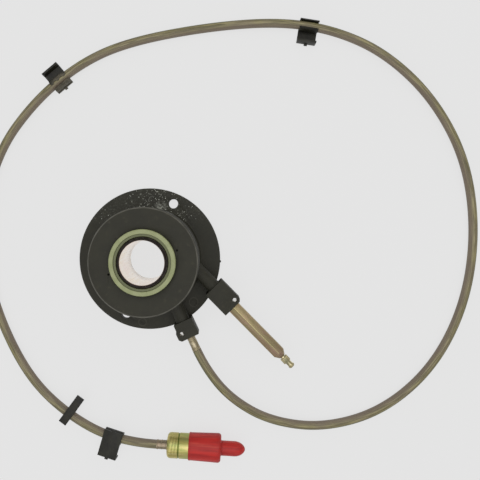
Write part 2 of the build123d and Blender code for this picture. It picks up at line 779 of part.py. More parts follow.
def make_dust_cap():
    outer = cap_shell(cap_mouth_r, cap_end_r, cap_end_z, cap_nose_r, cap_tip_z)
    rim = outer.edges().filter_by(GeomType.CIRCLE).filter_by(lambda e: abs(e.radius - cap_end_r) < 0.01)
    outer = fillet(rim, CAP_END_EDGE)
    inner = cap_shell(
        cap_mouth_r - CAP_WALL,
        cap_end_r - CAP_WALL,
        cap_end_z - CAP_END_WALL,
        cap_nose_r - CAP_NOSE_WALL,
        cap_tip_z - CAP_END_WALL,
    )
    return coupling * (outer - inner)


line_hose = make_line_hose()

nodes = {
    "housing": make_housing(),
    "guide_sleeve": make_guide_sleeve(),
    "sleeve_seal": make_sleeve_seal(),
    "stop_ring": make_stop_ring(),
    "preload_spring": make_preload_spring(),
    "piston": make_piston(),
    "piston_seal": make_piston_seal(),
    "spring_seat": make_spring_seat(),
    "hose_fitting": make_hose_fitting(),
    "hose_fitting_seal": make_hose_fitting_seal(),
    "hose_retaining_pin": make_hose_retaining_pin(),
    "bleed_tube": make_bleed_tube(),
    "bleed_tube_seal": make_bleed_tube_seal(),
    "bleed_retaining_pin": make_bleed_retaining_pin(),
    "bleed_screw": make_bleed_screw(),
    "line_hose": line_hose,
    "line_clip_1": double_clip(clip_frame(12, BACK_DOWN), line_hose, channel_nub=True),
    "line_clip_2": double_clip(clip_frame(16, BACK_DOWN_CHANNEL_OUT), line_hose, ring_nub=True),
    "line_clip_3": strap_clip(clip_frame(22), line_hose),
    "line_clip_4": double_clip(
        clip_frame(23, CHANNEL_OUT), line_hose, LAST_CLIP_REACH, channel_nub=True, ring_nub=True
    ),
    "coupling_ferrule": make_coupling_ferrule(),
    "coupling_body": make_coupling_body(),
    "coupling_probe": make_coupling_probe(),
    "probe_seal": make_probe_seal(),
    "poppet": make_poppet(),
    "poppet_spring": make_poppet_spring(),
    "dust_cap": make_dust_cap(),
}

os.makedirs("parts", exist_ok=True)
for name, shape in nodes.items():
    export_step(shape, os.path.join("parts", name + ".step"))
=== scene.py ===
import math
import bmesh
import bpy
from mathutils import Matrix, Vector


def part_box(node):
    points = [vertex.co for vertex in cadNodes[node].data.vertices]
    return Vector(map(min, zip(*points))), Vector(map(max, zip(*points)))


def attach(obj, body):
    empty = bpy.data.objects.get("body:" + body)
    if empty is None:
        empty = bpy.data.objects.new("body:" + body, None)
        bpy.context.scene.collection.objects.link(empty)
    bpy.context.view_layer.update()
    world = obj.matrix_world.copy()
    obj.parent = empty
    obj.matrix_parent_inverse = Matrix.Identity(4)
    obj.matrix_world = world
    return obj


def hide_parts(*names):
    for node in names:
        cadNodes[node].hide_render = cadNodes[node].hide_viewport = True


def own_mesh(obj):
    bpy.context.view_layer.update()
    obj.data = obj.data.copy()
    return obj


print("1 loading the packed cylinder")
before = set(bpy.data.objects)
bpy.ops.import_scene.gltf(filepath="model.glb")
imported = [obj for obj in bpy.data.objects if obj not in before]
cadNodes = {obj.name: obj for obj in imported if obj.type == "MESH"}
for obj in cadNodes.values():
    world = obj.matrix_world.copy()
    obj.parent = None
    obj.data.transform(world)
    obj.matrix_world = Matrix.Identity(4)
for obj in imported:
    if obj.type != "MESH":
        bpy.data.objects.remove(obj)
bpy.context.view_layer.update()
mm = 0.001
scene = bpy.context.scene


def toLinear(code):  # sRGB hex to the linear colour that Blender wants
    values = [int(code[i:i + 2], 16) / 255 for i in (1, 3, 5)]
    return [v / 12.92 if v <= 0.04045 else ((v + 0.055) / 1.055) ** 2.4 for v in values] + [1.0]


def addNode(tree, kind, inputs=None, **settings):  # an input is a node's output, a hex code or a plain value
    node = tree.nodes.new(kind)
    for name, value in settings.items():
        setattr(node, name, value)
    for socket, value in (inputs or {}).items():
        if isinstance(value, bpy.types.NodeSocket):
            tree.links.new(value, node.inputs[socket])
        elif isinstance(value, str) and value.startswith("#"):
            node.inputs[socket].default_value = toLinear(value)
        else:
            node.inputs[socket].default_value = value
    return node


def addObject(name, data):
    made = bpy.data.objects.new(name, data)
    scene.collection.objects.link(made)
    return made


def meshFrom(shape, name):
    mesh = bpy.data.meshes.new(name)
    shape.to_mesh(mesh)
    shape.free()
    return mesh


def portFrame(angle, side, height):  # Z outward along a port, X to the left and Y up, from sizes in mm
    out = Vector((math.cos(math.radians(angle)), math.sin(math.radians(angle)), 0))
    left = Vector((-out.y, out.x, 0))
    turned = Matrix((left, (0, 0, 1), out)).transposed().to_4x4()
    turned.translation = (left * side + Vector((0, 0, height))) * mm
    return turned


portPlace = {"hose": (-64.9, 4.15, 14.0), "bleed": (-45.4, 20.5, 15.0)}  # degrees, then sidestep and height in mm
hosePort = portFrame(*portPlace["hose"])
bleedPort = portFrame(*portPlace["bleed"])
couplingPlace = {"back": (13.8, -139.5, 9.3), "turn": -2.5, "tilt": 87.9}
coupling = (
    Matrix.Translation([c * mm for c in couplingPlace["back"]])
    @ Matrix.Rotation(math.radians(couplingPlace["turn"]), 4, "Z")
    @ Matrix.Rotation(math.radians(couplingPlace["tilt"]), 4, "Y")
)

print("2 camera and studio")
studio = {
    "floorTone": "#e5e5e5", "floorGlow": 0.9,  # share of the floor's light that is its own, as on a light table
    "floorSize": 9.0, "floorAt": (0.05, 0, -0.0002), "room": 0.52,
}
softboxes = {  # place, aim and width in metres, power in watts and colour
    "overheadSoftbox": ((0.04, 0.02, 1.3), (0.04, 0.021, 0.0), 1.4, 7.2, "#ffffff"),
    "keySoftbox": ((0.42, 0.50, 0.62), (0.03, -0.01, 0.02), 0.5, 0.7, "#fffaf0"),
    "fillSoftbox": ((-0.36, -0.52, 0.62), (0.03, -0.01, 0.02), 0.5, 0.6, "#ffffff"),
}
photoView = {"spot": (0.0453, 0.0241, 0.400), "sensor": 36, "lens": 39, "shift": (0.0638, -0.0271), "nearest": 0.01}


def addSoftbox(name, spot, target, width, power, colour):
    light = bpy.data.lights.new(name, "AREA")
    light.shape = "RECTANGLE"
    light.size = light.size_y = width
    light.energy = power
    light.color = toLinear(colour)[:3]
    lamp = addObject(name, light)
    lamp.location = spot
    lamp.rotation_euler = (Vector(target) - Vector(spot)).to_track_quat("-Z", "Y").to_euler()


def makeStudio():
    shape = bmesh.new()
    bmesh.ops.create_grid(shape, x_segments=1, y_segments=1, size=studio["floorSize"])
    floor = addObject("floor", meshFrom(shape, "floor"))
    floor.location = studio["floorAt"]
    paper = bpy.data.materials.new("paleStudioPaper")
    paper.use_nodes = True
    shader = paper.node_tree.nodes["Principled BSDF"]
    glow = toLinear(studio["floorTone"])
    shader.inputs["Base Color"].default_value = [c * (1 - studio["floorGlow"]) for c in glow[:3]] + [1.0]
    shader.inputs["Roughness"].default_value = 1.0
    shader.inputs["Specular IOR Level"].default_value = 0.0
    shader.inputs["Emission Color"].default_value = glow
    shader.inputs["Emission Strength"].default_value = studio["floorGlow"]
    floor.data.materials.append(paper)
    for name, box in softboxes.items():
        addSoftbox(name, *box)
    world = bpy.data.worlds.new("paleRoom")
    world.use_nodes = True
    world.node_tree.nodes["Background"].inputs[0].default_value = toLinear("#ffffff")
    world.node_tree.nodes["Background"].inputs[1].default_value = studio["room"]
    scene.world = world
    scene.view_settings.view_transform = "Standard"
    lens = bpy.data.cameras.new("photoCamera")
    lens.sensor_width = photoView["sensor"]
    lens.lens = photoView["lens"]
    lens.shift_x, lens.shift_y = photoView["shift"]
    lens.clip_start = photoView["nearest"]
    camera = addObject("photoCamera", lens)
    camera.location = photoView["spot"]
    scene.camera = camera


makeStudio()

print("3 materials")


def newMaterial(name, roughness, metallic=0.0, ior=1.5, ownFrame=None):
    material = bpy.data.materials.new(name)
    material.use_nodes = True
    tree = material.node_tree
    shader = tree.nodes["Principled BSDF"]
    shader.inputs["Roughness"].default_value = roughness
    shader.inputs["Metallic"].default_value = metallic
    if metallic < 0.5:
        shader.inputs["IOR"].default_value = ior
    place = addNode(tree, "ShaderNodeTexCoord").outputs["Object"]
    if ownFrame is not None:  # a port's or the coupling's, so that the patterns follow that axis
        back = ownFrame.inverted()
        turned = {0: place, "Location": back.translation, "Rotation": back.to_euler("XYZ")}
        place = addNode(tree, "ShaderNodeMapping", turned).outputs[0]
    return material, tree, shader, place


def makePatterns(tree, place, sizes):  # a finish's patchy patterns: patch in mm, detail and, where drawn out, stretch
    patterns = {}
    for name, (patch, detail, *stretch) in sizes.items():
        laid = place
        if stretch:
            laid = addNode(tree, "ShaderNodeMapping", {0: place, "Scale": stretch[0]}).outputs[0]
        noise = addNode(tree, "ShaderNodeTexNoise", {0: laid, "Scale": 1000 / patch, "Detail": detail})
        patterns[name] = noise.outputs[0]
    return patterns


def layTones(tree, colour, *layers):  # each tone comes in as its pattern goes from low to high, up to its share
    for pattern, low, high, share, tone in layers:
        cover = addNode(tree, "ShaderNodeMapRange", {0: pattern, 1: low, 2: high, 4: share}).outputs[0]
        colour = addNode(tree, "ShaderNodeMix", {0: cover, 6: colour, 7: tone}, data_type="RGBA").outputs[2]
    return colour


def dress(tree, shader, colour, height, strength, depth, polish=None):  # a bump's depth in mm
    tree.links.new(colour, shader.inputs["Base Color"])
    bump = addNode(tree, "ShaderNodeBump", {"Strength": strength, "Distance": depth * mm, "Height": height})
    tree.links.new(bump.outputs[0], shader.inputs["Normal"])
    if polish:  # a pattern, and the roughness at its low and high parts
        pattern, low, high = polish
        spread = addNode(tree, "ShaderNodeMapRange", {0: pattern, 1: 0.3, 2: 0.7, 3: low, 4: high})
        tree.links.new(spread.outputs[0], shader.inputs["Roughness"])


def radiusOf(tree, place, middle=None):  # distance from the frame's Z axis, or from a line along it through middle
    if middle:
        place = addNode(tree, "ShaderNodeVectorMath", {0: place, 1: middle}, operation="SUBTRACT").outputs[0]
    flat = addNode(tree, "ShaderNodeVectorMath", {0: place, 1: (1, 1, 0)}, operation="MULTIPLY").outputs[0]
    return addNode(tree, "ShaderNodeVectorMath", {0: flat}, operation="LENGTH").outputs["Value"]


# Glass-filled nylon, injection moulded: warm black, matt from the fine spark-eroded mould. White specks are painted
# on the flange above the drum as painted glints of its textured surface, thickest beside the upper bolt hole
def makeHousingNylon():
    look = {
        "light": "#2e2d23", "dark": "#25241a", "wear": "#383629", "edge": "#64625a", "sparkleAndSheen": "#d6d8cc",
        "mark": "#45433a", "markSpots": ((33.4, -32.9, 3.3), (-5.5, -48.1, 2.9)),  # x, y and radius of ejector marks
        # speck cell size, and the centres and reach in mm of the densest painted glints
        "glintCell": 0.85, "glintHeart": (3.0, 43.0, 5.0), "glintsByHole": (20.5, 34.5, 5.0),
        # centre and reach in mm of the painted light catch on the drum's foot
        "lightCatchAt": (8.5, 38.8, 7.0),
        "patterns": {
            "mottle": (12, 4.0), "scuffsAndLitPatches": (3.5, 5.0, (1.0, 1.0, 0.4)), "rubs": (9.0, 3.0), "zones": (5.0, 3.0),
            "lightCatchPatches": (1.2, 4.0, (0.5, 1.0, 1.0)), "dust": (0.9, 4.0), "grain": (0.4, 2.0),
        },
    }
    material, tree, shader, place = newMaterial("glassFilledNylonMoulded", 0.55)
    patterns = makePatterns(tree, place, look["patterns"])
    colour = layTones(
        tree, look["dark"], (patterns["mottle"], 0.38, 0.62, 1, look["light"]),
        (patterns["scuffsAndLitPatches"], 0.6, 0.75, 0.7, look["wear"]))
    axes = addNode(tree, "ShaderNodeSeparateXYZ", {0: place}).outputs
    cells = addNode(tree, "ShaderNodeTexVoronoi", {"Vector": place, "Scale": 1000 / look["glintCell"]}).outputs
    lot = addNode(tree, "ShaderNodeSeparateColor", {0: cells["Color"]}).outputs
    away = {}
    for name in ("glintHeart", "glintsByHole", "lightCatchAt"):
        spot = [c * mm for c in look[name]]
        away[name] = addNode(tree, "ShaderNodeVectorMath", {0: place, 1: spot}, operation="DISTANCE").outputs["Value"]
    masks = {"chance": lot[0], "strength": lot[1]}  # every speck's own
    for name, source, low, high, least, most in (  # each mask goes from least to most as its source goes low to high
            ("flangeTop", axes["Z"], 0.0075, 0.0055, 0, 1), ("glintSide", axes["Y"], 0.026, 0.032, 0, 1),
            # drumTop and drumRim place the painted highlight on the drum's rim
            ("drumTop", axes["Z"], 0.0462, 0.0466, 0, 1), ("drumRim", radiusOf(tree, place), 0.0366, 0.0372, 0, 1),
            ("rubs", patterns["rubs"], 0.35, 0.6, 0.45, 1), ("specks", cells["Distance"], 0.42, 0.26, 0, 1),
            ("zones", patterns["zones"], 0.42, 0.62, 0, 0.13), ("heart", away["glintHeart"], 0.022, 0.004, 0, 0.3),
            # on the next line, the second mask is the painted light catch on the drum's foot by the upper bolt hole
            ("byHole", away["glintsByHole"], 0.010, 0.003, 0, 0.3), ("lightCatch", away["lightCatchAt"], 0.0062, 0.002, 0, 0.4),
            ("lightCatchPatches", patterns["lightCatchPatches"], 0.42, 0.6, 0, 1), ("dust", patterns["dust"], 0.5, 0.75, 0, 0.06)):
        masks[name] = addNode(tree, "ShaderNodeMapRange", {0: source, 1: low, 2: high, 3: least, 4: most}).outputs[0]
    for name, operation, first, second in (
            ("edge", "MULTIPLY", "drumRim", "drumTop"), ("edge", "MULTIPLY", "edge", "rubs"),
            ("near", "MAXIMUM", "heart", "byHole"), ("share", "ADD", "zones", "near"),
            ("kept", "LESS_THAN", "chance", "share"), ("onFlange", "MULTIPLY", "flangeTop", "glintSide"),
            ("sparkleAndSheen", "MULTIPLY", "specks", "strength"), ("sparkleAndSheen", "MULTIPLY", "sparkleAndSheen", "kept"),
            ("sparkleAndSheen", "MULTIPLY", "sparkleAndSheen", "onFlange"), ("lightCatch", "MULTIPLY", "lightCatch", "lightCatchPatches"),
            ("sparkleAndSheen", "MAXIMUM", "sparkleAndSheen", "lightCatch"), ("dust", "MULTIPLY", "dust", "onFlange"),
            ("sparkleAndSheen", "MAXIMUM", "sparkleAndSheen", "dust")):
        pair = {0: masks[first], 1: masks[second]}
        masks[name] = addNode(tree, "ShaderNodeMath", pair, operation=operation).outputs[0]
    # painted highlight: the "edge" tone, a lighter band along the drum's top rim, broken up in patches
    colour = layTones(tree, colour, (masks["edge"], 0, 1, 1, look["edge"]))
    for x, y, markR in look["markSpots"]:
        reach = radiusOf(tree, place, (x * mm, y * mm, 0))
        off = addNode(tree, "ShaderNodeMath", {0: reach, 1: markR * mm}, operation="SUBTRACT").outputs[0]
        off = addNode(tree, "ShaderNodeMath", {0: off}, operation="ABSOLUTE").outputs[0]
        ring = addNode(tree, "ShaderNodeMapRange", {0: off, 1: 0.0006, 2: 0.0002, 4: 0.55}).outputs[0]
        ring = addNode(tree, "ShaderNodeMath", {0: ring, 1: masks["flangeTop"]}, operation="MULTIPLY").outputs[0]
        colour = layTones(tree, colour, (ring, 0, 1, 1, look["mark"]))
    # painted light in white: the painted glints, the painted light catch on the drum's foot and a faint painted sheen
    # on the upper flange
    colour = layTones(tree, colour, (masks["sparkleAndSheen"], 0, 1, 1, look["sparkleAndSheen"]))
    shader.inputs["Specular IOR Level"].default_value = 0.3
    dress(tree, shader, colour, patterns["grain"], 0.4, 0.06, (patterns["mottle"], 0.52, 0.64))
    return material


# Natural nylon 46, moulded and oil stained: olive tan and matt, with painted shade darker down in the step
def makePistonNylon():
    look = {
        "ring": "#959a70", "dark": "#898f62", "step": "#656945", "stepRadius": 19.6, "stepFade": 0.12,
        "patterns": {"mottle": (5, 4.0), "grain": (0.4, 2.0)},
    }
    material, tree, shader, place = newMaterial("naturalNylonMoulded", 0.48, ior=1.53)
    patterns = makePatterns(tree, place, look["patterns"])
    edge, bottom = look["stepRadius"] * mm, (look["stepRadius"] - look["stepFade"]) * mm
    # painted shade: the step's recess is painted darker
    colour = layTones(
        tree, look["ring"], (patterns["mottle"], 0.35, 0.65, 1, look["dark"]),
        (radiusOf(tree, place), edge, bottom, 1, look["step"]))
    dress(tree, shader, colour, patterns["grain"], 0.3, 0.05)
    return material


# Deep-drawn steel tube: bright and warm inside with fine draw lines, black oxide on its end and outside
def makeSleeveSteel():
    look = {
        "bright": "#fffaf0", "warm": "#fcedd8", "pink": "#fcece2", "oxide": "#2b2725", "wallRadius": 15.16,
        "wallFade": 0.05, "patterns": {"drawn": (1.1, 5.0, (1.0, 1.0, 0.04)), "patches": (9.0, 3.0)},
    }
    material, tree, shader, place = newMaterial("deepDrawnSteel", 0.3, metallic=1.0)
    patterns = makePatterns(tree, place, look["patterns"])
    wall, outside = look["wallRadius"] * mm, (look["wallRadius"] + look["wallFade"]) * mm
    colour = layTones(
        tree, look["bright"], (patterns["drawn"], 0.35, 0.65, 1, look["warm"]),
        (patterns["patches"], 0.4, 0.65, 1, look["pink"]), (radiusOf(tree, place), wall, outside, 1, look["oxide"]))
    dress(tree, shader, colour, patterns["drawn"], 0.06, 0.02, (patterns["drawn"], 0.16, 0.26))
    return material


# Plain drawn steel and black spring steel differ only in tone
def makeSteel(name, light, dark):
    look = {"roughness": 0.42, "patterns": {"patches": (3, 5.0), "grain": (0.45, 2.0)}}
    rough = look["roughness"]
    material, tree, shader, place = newMaterial(name, rough, metallic=1.0)
    patterns = makePatterns(tree, place, look["patterns"])
    colour = layTones(tree, light, (patterns["patches"], 0.38, 0.62, 1, dark))
    dress(tree, shader, colour, patterns["grain"], 0.2, 0.04, (patterns["patches"], rough - 0.06, rough + 0.08))
    return material


# Yellow-passivated zinc on a turned part: greenish gold, with bands along the axis and fine turning lines
def makeTurnedZinc(name, ownFrame, look, rough):
    material, tree, shader, local = newMaterial(name, rough, metallic=1.0, ownFrame=ownFrame)
    patterns = makePatterns(tree, local, {
        "bands": (look["band"], 3.0, (1.0, 1.0, 0.05)), "film": (look["film"], 2.0, (1.0, 1.0, 0.25)),
        "turning": (0.5, 2.0, (0.02, 0.02, 1.0)),
    })
    colour = layTones(
        tree, look["light"], (patterns["bands"], 0.38, 0.62, 1, look["dark"]),
        (patterns["film"], 0.46, 0.66, 0.8, look["tint"]), (patterns["turning"], 0.55, 0.72, 0.25, look["line"]))
    dress(tree, shader, colour, patterns["turning"], 0.25, 0.03, (patterns["bands"], rough - 0.05, rough + 0.08))
    return material, tree, shader, local, colour


# The coupling's body: dark green is painted in the groove the tool left, a painted shade in the groove
def makeCouplingZinc():
    look = {
        "light": "#cdc084", "dark": "#aea35f", "tint": "#a0a967", "line": "#83874a", "band": 1.5, "film": 5.0,
        "groove": "#6a7436", "grooveAt": 8.7, "grooveHalf": 0.35, "grooveFade": 0.15,
    }
    material, tree, shader, local, colour = makeTurnedZinc("turnedZincYellowPassivated", coupling, look, 0.42)
    along = addNode(tree, "ShaderNodeSeparateXYZ", {0: local}).outputs["Z"]
    away = addNode(tree, "ShaderNodeMath", {0: along, 1: look["grooveAt"] * mm}, operation="SUBTRACT").outputs[0]
    away = addNode(tree, "ShaderNodeMath", {0: away}, operation="ABSOLUTE").outputs[0]
    edge, wall = (look["grooveHalf"] + look["grooveFade"]) * mm, look["grooveHalf"] * mm
    # painted shade: dark green along the groove
    colour = layTones(tree, colour, (away, edge, wall, 1, look["groove"]))
    tree.links.new(colour, shader.inputs["Base Color"])
    return material


# Rolled spring pin: bright inside, its cut end and its outside blackened
def makePinSteel(name, port):
    look = {
        "bore": "#fbfaf6", "rim": "#3f3c36", "boreR": 1.37, "rimFade": 0.06, "patterns": {"grain": (0.45, 2.0)},
    }
    low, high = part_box(port + "_retaining_pin")
    middle = ((low[0] + high[0]) / 2, (low[1] + high[1]) / 2, 0)
    material, tree, shader, place = newMaterial(name, 0.24, metallic=1.0)
    bore, rim = look["boreR"] * mm, (look["boreR"] + look["rimFade"]) * mm
    colour = layTones(tree, look["bore"], (radiusOf(tree, place, middle), bore, rim, 1, look["rim"]))
    dress(tree, shader, colour, makePatterns(tree, place, look["patterns"])["grain"], 0.2, 0.03)
    return material


# Drawn hexagon bar, bronze-tinted zinc: lengthwise die lines, film shifting from pink-tan to green, painted highlights
# on its corners
def makeBarZinc():
    look = {
        "light": "#a8947a", "dark": "#958168", "tint": "#ad8f7f", "line": "#8b7a5c", "corner": "#b9b183",
        "band": 1.4, "film": 3.0, "cornerHighlightFrom": 4.98, "cornerHighlightTo": 5.14, "green": "#8e8d60", "greenPatch": 5.5,
    }
    material, tree, shader, local, colour = makeTurnedZinc("hexBarZincPassivated", bleedPort, look, 0.4)
    laid = addNode(tree, "ShaderNodeMapping", {0: local, "Scale": (1.0, 1.0, 0.3)}).outputs[0]
    greening = {0: laid, "Scale": 1000 / look["greenPatch"], "Detail": 2.0}
    # the last tone, "corner", is a painted highlight along the hexagon's corners
    colour = layTones(
        tree, colour, (addNode(tree, "ShaderNodeTexNoise", greening).outputs["Color"], 0.46, 0.62, 0.45, look["green"]),
        (radiusOf(tree, local), look["cornerHighlightFrom"] * mm, look["cornerHighlightTo"] * mm, 1, look["corner"]))
    tree.links.new(colour, shader.inputs["Base Color"])
    return material


# Vinyl, dip moulded: saturated red and waxy, faint runs along the cap from the dipping, deeper near mouth and shoulder
def makeVinyl():
    look = {
        "red": "#b9251f", "deep": "#9c1c1a", "run": "#c8463a", "mouth": 16.2, "shoulder": 40.2,
        "patterns": {
            "runs": (2.2, 3.0, (1.0, 1.0, 0.06)), "light": (3.1, 2.0, (1.0, 1.0, 0.05)),
            "waves": (1.6, 4.0, (1.0, 1.0, 0.3)),
        },
    }
    material, tree, shader, local = newMaterial("dipMouldedVinyl", 0.48, ownFrame=coupling)
    patterns = makePatterns(tree, local, look["patterns"])
    along = addNode(tree, "ShaderNodeSeparateXYZ", {0: local}).outputs["Z"]
    fades = []
    for edge, start, end, first, last in (
            ("mouth", 0.6, 3.5, 0.5, 0), ("shoulder", -4, -1, 0, 0.5), ("shoulder", 0.2, 2.2, 1, 0)):
        span = {0: along, 1: (look[edge] + start) * mm, 2: (look[edge] + end) * mm, 3: first, 4: last}
        fades.append(addNode(tree, "ShaderNodeMapRange", span).outputs[0])
    nearMouth, rising, falling = fades
    nearShoulder = addNode(tree, "ShaderNodeMath", {0: rising, 1: falling}, operation="MULTIPLY").outputs[0]
    deeper = addNode(tree, "ShaderNodeMath", {0: nearMouth, 1: nearShoulder}, operation="MAXIMUM").outputs[0]
    colour = layTones(
        tree, look["red"], (patterns["runs"], 0.4, 0.62, 1, look["deep"]),
        (patterns["light"], 0.56, 0.7, 0.6, look["run"]), (deeper, 0, 1, 1, look["deep"]))
    shader.inputs["Specular IOR Level"].default_value = 0.35
    shader.inputs["Subsurface Weight"].default_value = 0.06
    shader.inputs["Subsurface Radius"].default_value = (0.0012, 0.0003, 0.0002)
    dress(tree, shader, colour, patterns["waves"], 0.25, 0.12)
    return material


# Extruded nylon sheath over the pressure hose: olive brown and matt, with lengthwise die lines. The side
# inside the loop is painted greyer and more violet and the outer side greener, painted light standing for the
# differently coloured light on each side.
# Reads the sheath's own "lay" attribute: x across towards the inside of the loop, y up, z along the hose
def makeHoseSheath():
    look = {
        "olive": "#837b56", "brown": "#5f583b", "pale": "#a1986f", "violet": "#75685d", "green": "#4f5530",
        "inner": (0.0006, 0.0026), "outer": (-0.0014, -0.0028),  # where each side's painted light tint fades in
        "patterns": {
            "lines": (0.6, 2.0, (1.0, 1.0, 0.03)), "streaks": (0.9, 2.0, (1.0, 1.0, 0.05)), "cloud": (14.0, 3.0),
        },
    }
    material, tree, shader = newMaterial("extrudedNylonSheath", 0.5)[:3]
    lay = addNode(tree, "ShaderNodeAttribute", attribute_name="lay").outputs["Vector"]
    across = addNode(tree, "ShaderNodeSeparateXYZ", {0: lay}).outputs["X"]
    patterns = makePatterns(tree, lay, look["patterns"])
    # painted light: the inner and outer tones tint the two sides of the loop for the light falling on each
    colour = layTones(
        tree, look["olive"], (patterns["lines"], 0.42, 0.56, 1, look["brown"]),
        (patterns["streaks"], 0.56, 0.66, 0.7, look["pale"]), (across, *look["inner"], 0.75, look["violet"]),
        (across, *look["outer"], 0.85, look["green"]), (patterns["cloud"], 0.4, 0.65, 0.35, look["violet"]))
    dress(tree, shader, colour, patterns["lines"], 0.3, 0.05)
    return material


# Acetal, moulded: near black and satin, with a brown-grey patch painted round the second clip's hose ring as painted
# light on its lit side
def makeAcetal():
    look = {
        "light": "#242319", "dark": "#171611", "litPatch": "#5a5548", "litPatchAt": (-64.9, 132.2, 5.0),
        "patterns": {"mottle": (4.5, 4.0), "scuffsAndLitPatches": (1.6, 4.0), "grain": (0.4, 2.0)},
    }
    material, tree, shader, place = newMaterial("mouldedAcetal", 0.5, ior=1.48)
    patterns = makePatterns(tree, place, look["patterns"])
    spot = [c * mm for c in look["litPatchAt"]]
    away = addNode(tree, "ShaderNodeVectorMath", {0: place, 1: spot}, operation="DISTANCE").outputs["Value"]
    near = addNode(tree, "ShaderNodeMapRange", {0: away, 1: 0.0105, 2: 0.0075}).outputs[0]
    litPatchBreakup = addNode(tree, "ShaderNodeMapRange", {0: patterns["scuffsAndLitPatches"], 1: 0.35, 2: 0.6, 3: 0.45}).outputs[0]
    litPatchMask = addNode(tree, "ShaderNodeMath", {0: near, 1: litPatchBreakup}, operation="MULTIPLY").outputs[0]
    # painted light: the brown-grey patch round clip 2's hose ring, broken up in patches
    colour = layTones(
        tree, look["light"], (patterns["mottle"], 0.35, 0.65, 1, look["dark"]), (litPatchMask, 0, 1, 1, look["litPatch"]))
    shader.inputs["Specular IOR Level"].default_value = 0.35
    dress(tree, shader, colour, patterns["grain"], 0.3, 0.05)
    return material


# Nitrile rubber for the seals: near black and dull
def makeNitrile():
    look = {"light": "#202020", "dark": "#171717", "patterns": {"mottle": (4.5, 4.0), "grain": (0.3, 2.0)}}
    material, tree, shader, place = newMaterial("nitrileRubber", 0.6, ior=1.48)
    patterns = makePatterns(tree, place, look["patterns"])
    colour = layTones(tree, look["light"], (patterns["mottle"], 0.35, 0.65, 1, look["dark"]))
    dress(tree, shader, colour, patterns["grain"], 0.3, 0.05)
    return material


# Crimped steel sleeve, tinned: a fine rolled mesh pressed in by the crimping jaws, drawn 0.7 mm coarse to show
def makeCrimpSteel():
    look = {"light": "#aea389", "dark": "#786e5b", "pink": "#a4927f", "mesh": 0.7, "patterns": {"blush": (4.0, 3.0)}}
    material, tree, shader, local = newMaterial("crimpedTinnedSteel", 0.4, metallic=1.0, ownFrame=coupling)
    rolled = {"Vector": local, "Scale": 1000 / look["mesh"], "Randomness": 0.35}
    cells = addNode(tree, "ShaderNodeTexVoronoi", rolled).outputs["Distance"]
    blush = makePatterns(tree, local, look["patterns"])["blush"]
    colour = layTones(tree, look["light"], (cells, 0.2, 0.6, 1, look["dark"]), (blush, 0.45, 0.65, 0.7, look["pink"]))
    dress(tree, shader, colour, cells, 0.6, 0.12)
    return material


housingNylon = makeHousingNylon()
pistonNylon = makePistonNylon()
sleeveSteel = makeSleeveSteel()
fittingSteel = makeSteel("drawnSteelOiled", "#afa48b", "#92876d")
springSteel = makeSteel("springSteelBlackOxide", "#332f2c", "#272320")
pinSteel = {port: makePinSteel("springSteelRolled" + port.capitalize(), port) for port in ("hose", "bleed")}
couplingZinc = makeCouplingZinc()
screwLook = {
    "light": "#e0d4ac", "dark": "#a19570", "tint": "#96977a", "line": "#857c58", "band": 1.0, "film": 2.0,
}
screwZinc = makeTurnedZinc("turnedZincPalePassivated", bleedPort, screwLook, 0.36)[0]
barZinc = makeBarZinc()
hoseSheath = makeHoseSheath()
vinylRed = makeVinyl()
crimpSteel = makeCrimpSteel()
clipAcetal = makeAcetal()
nitrile = makeNitrile()

print("4 shaping tools")


def roundProfile(points, steps=4):  # (radius, height, corner radius) in mm to a profile with its corners rounded
    profile = []
    count = len(points)
    for i, (r, z, corner) in enumerate(points):
        if not corner:
            profile.append((r, z))
            continue
        here = Vector((r, z))
        back = (Vector(points[i - 1][:2]) - here).normalized()
        ahead = (Vector(points[(i + 1) % count][:2]) - here).normalized()
        half = back.angle(ahead) / 2
        reach = corner / math.tan(half)
        centre = here + (back + ahead).normalized() * corner / math.sin(half)
        first = here + back * reach - centre
        second = here + ahead * reach - centre
        turn = first.angle(second)
        for k in range(steps + 1):
            part = k / steps
            arm = (first * math.sin((1 - part) * turn) + second * math.sin(part * turn)) / math.sin(turn)
            profile.append(tuple(centre + arm))
    return profile


def latheMesh(name, profile, steps=96):  # a closed profile in mm, turned about Z
    shape = bmesh.new()
    rings = []
    for r, z in profile:
        if r < 1e-6:
            rings.append([shape.verts.new((0, 0, z * mm))])
            continue
        turns = [2 * math.pi * k / steps for k in range(steps)]
        rings.append([shape.verts.new((r * mm * math.cos(t), r * mm * math.sin(t), z * mm)) for t in turns])
    for below, above in zip(rings, rings[1:] + rings[:1]):
        for k in range(steps):
            n = (k + 1) % steps
            corners = [below[k % len(below)], below[n % len(below)], above[n % len(above)], above[k % len(above)]]
            corners = list(dict.fromkeys(corners))
            if len(corners) > 2:
                shape.faces.new(corners)
    bmesh.ops.recalc_face_normals(shape, faces=shape.faces)
    return meshFrom(shape, name)


def bakeModifiers(piece):  # the evaluated object as a plain mesh, its modifiers gone
    depsgraph = bpy.context.evaluated_depsgraph_get()
    mesh = bpy.data.meshes.new_from_object(piece.evaluated_get(depsgraph))
    bpy.data.objects.remove(piece)
    return mesh


def smoothByAngle(mesh, degrees=32):
    mesh.polygons.foreach_set("use_smooth", [True] * len(mesh.polygons))
    mesh.set_sharp_from_angle(angle=math.radians(degrees))


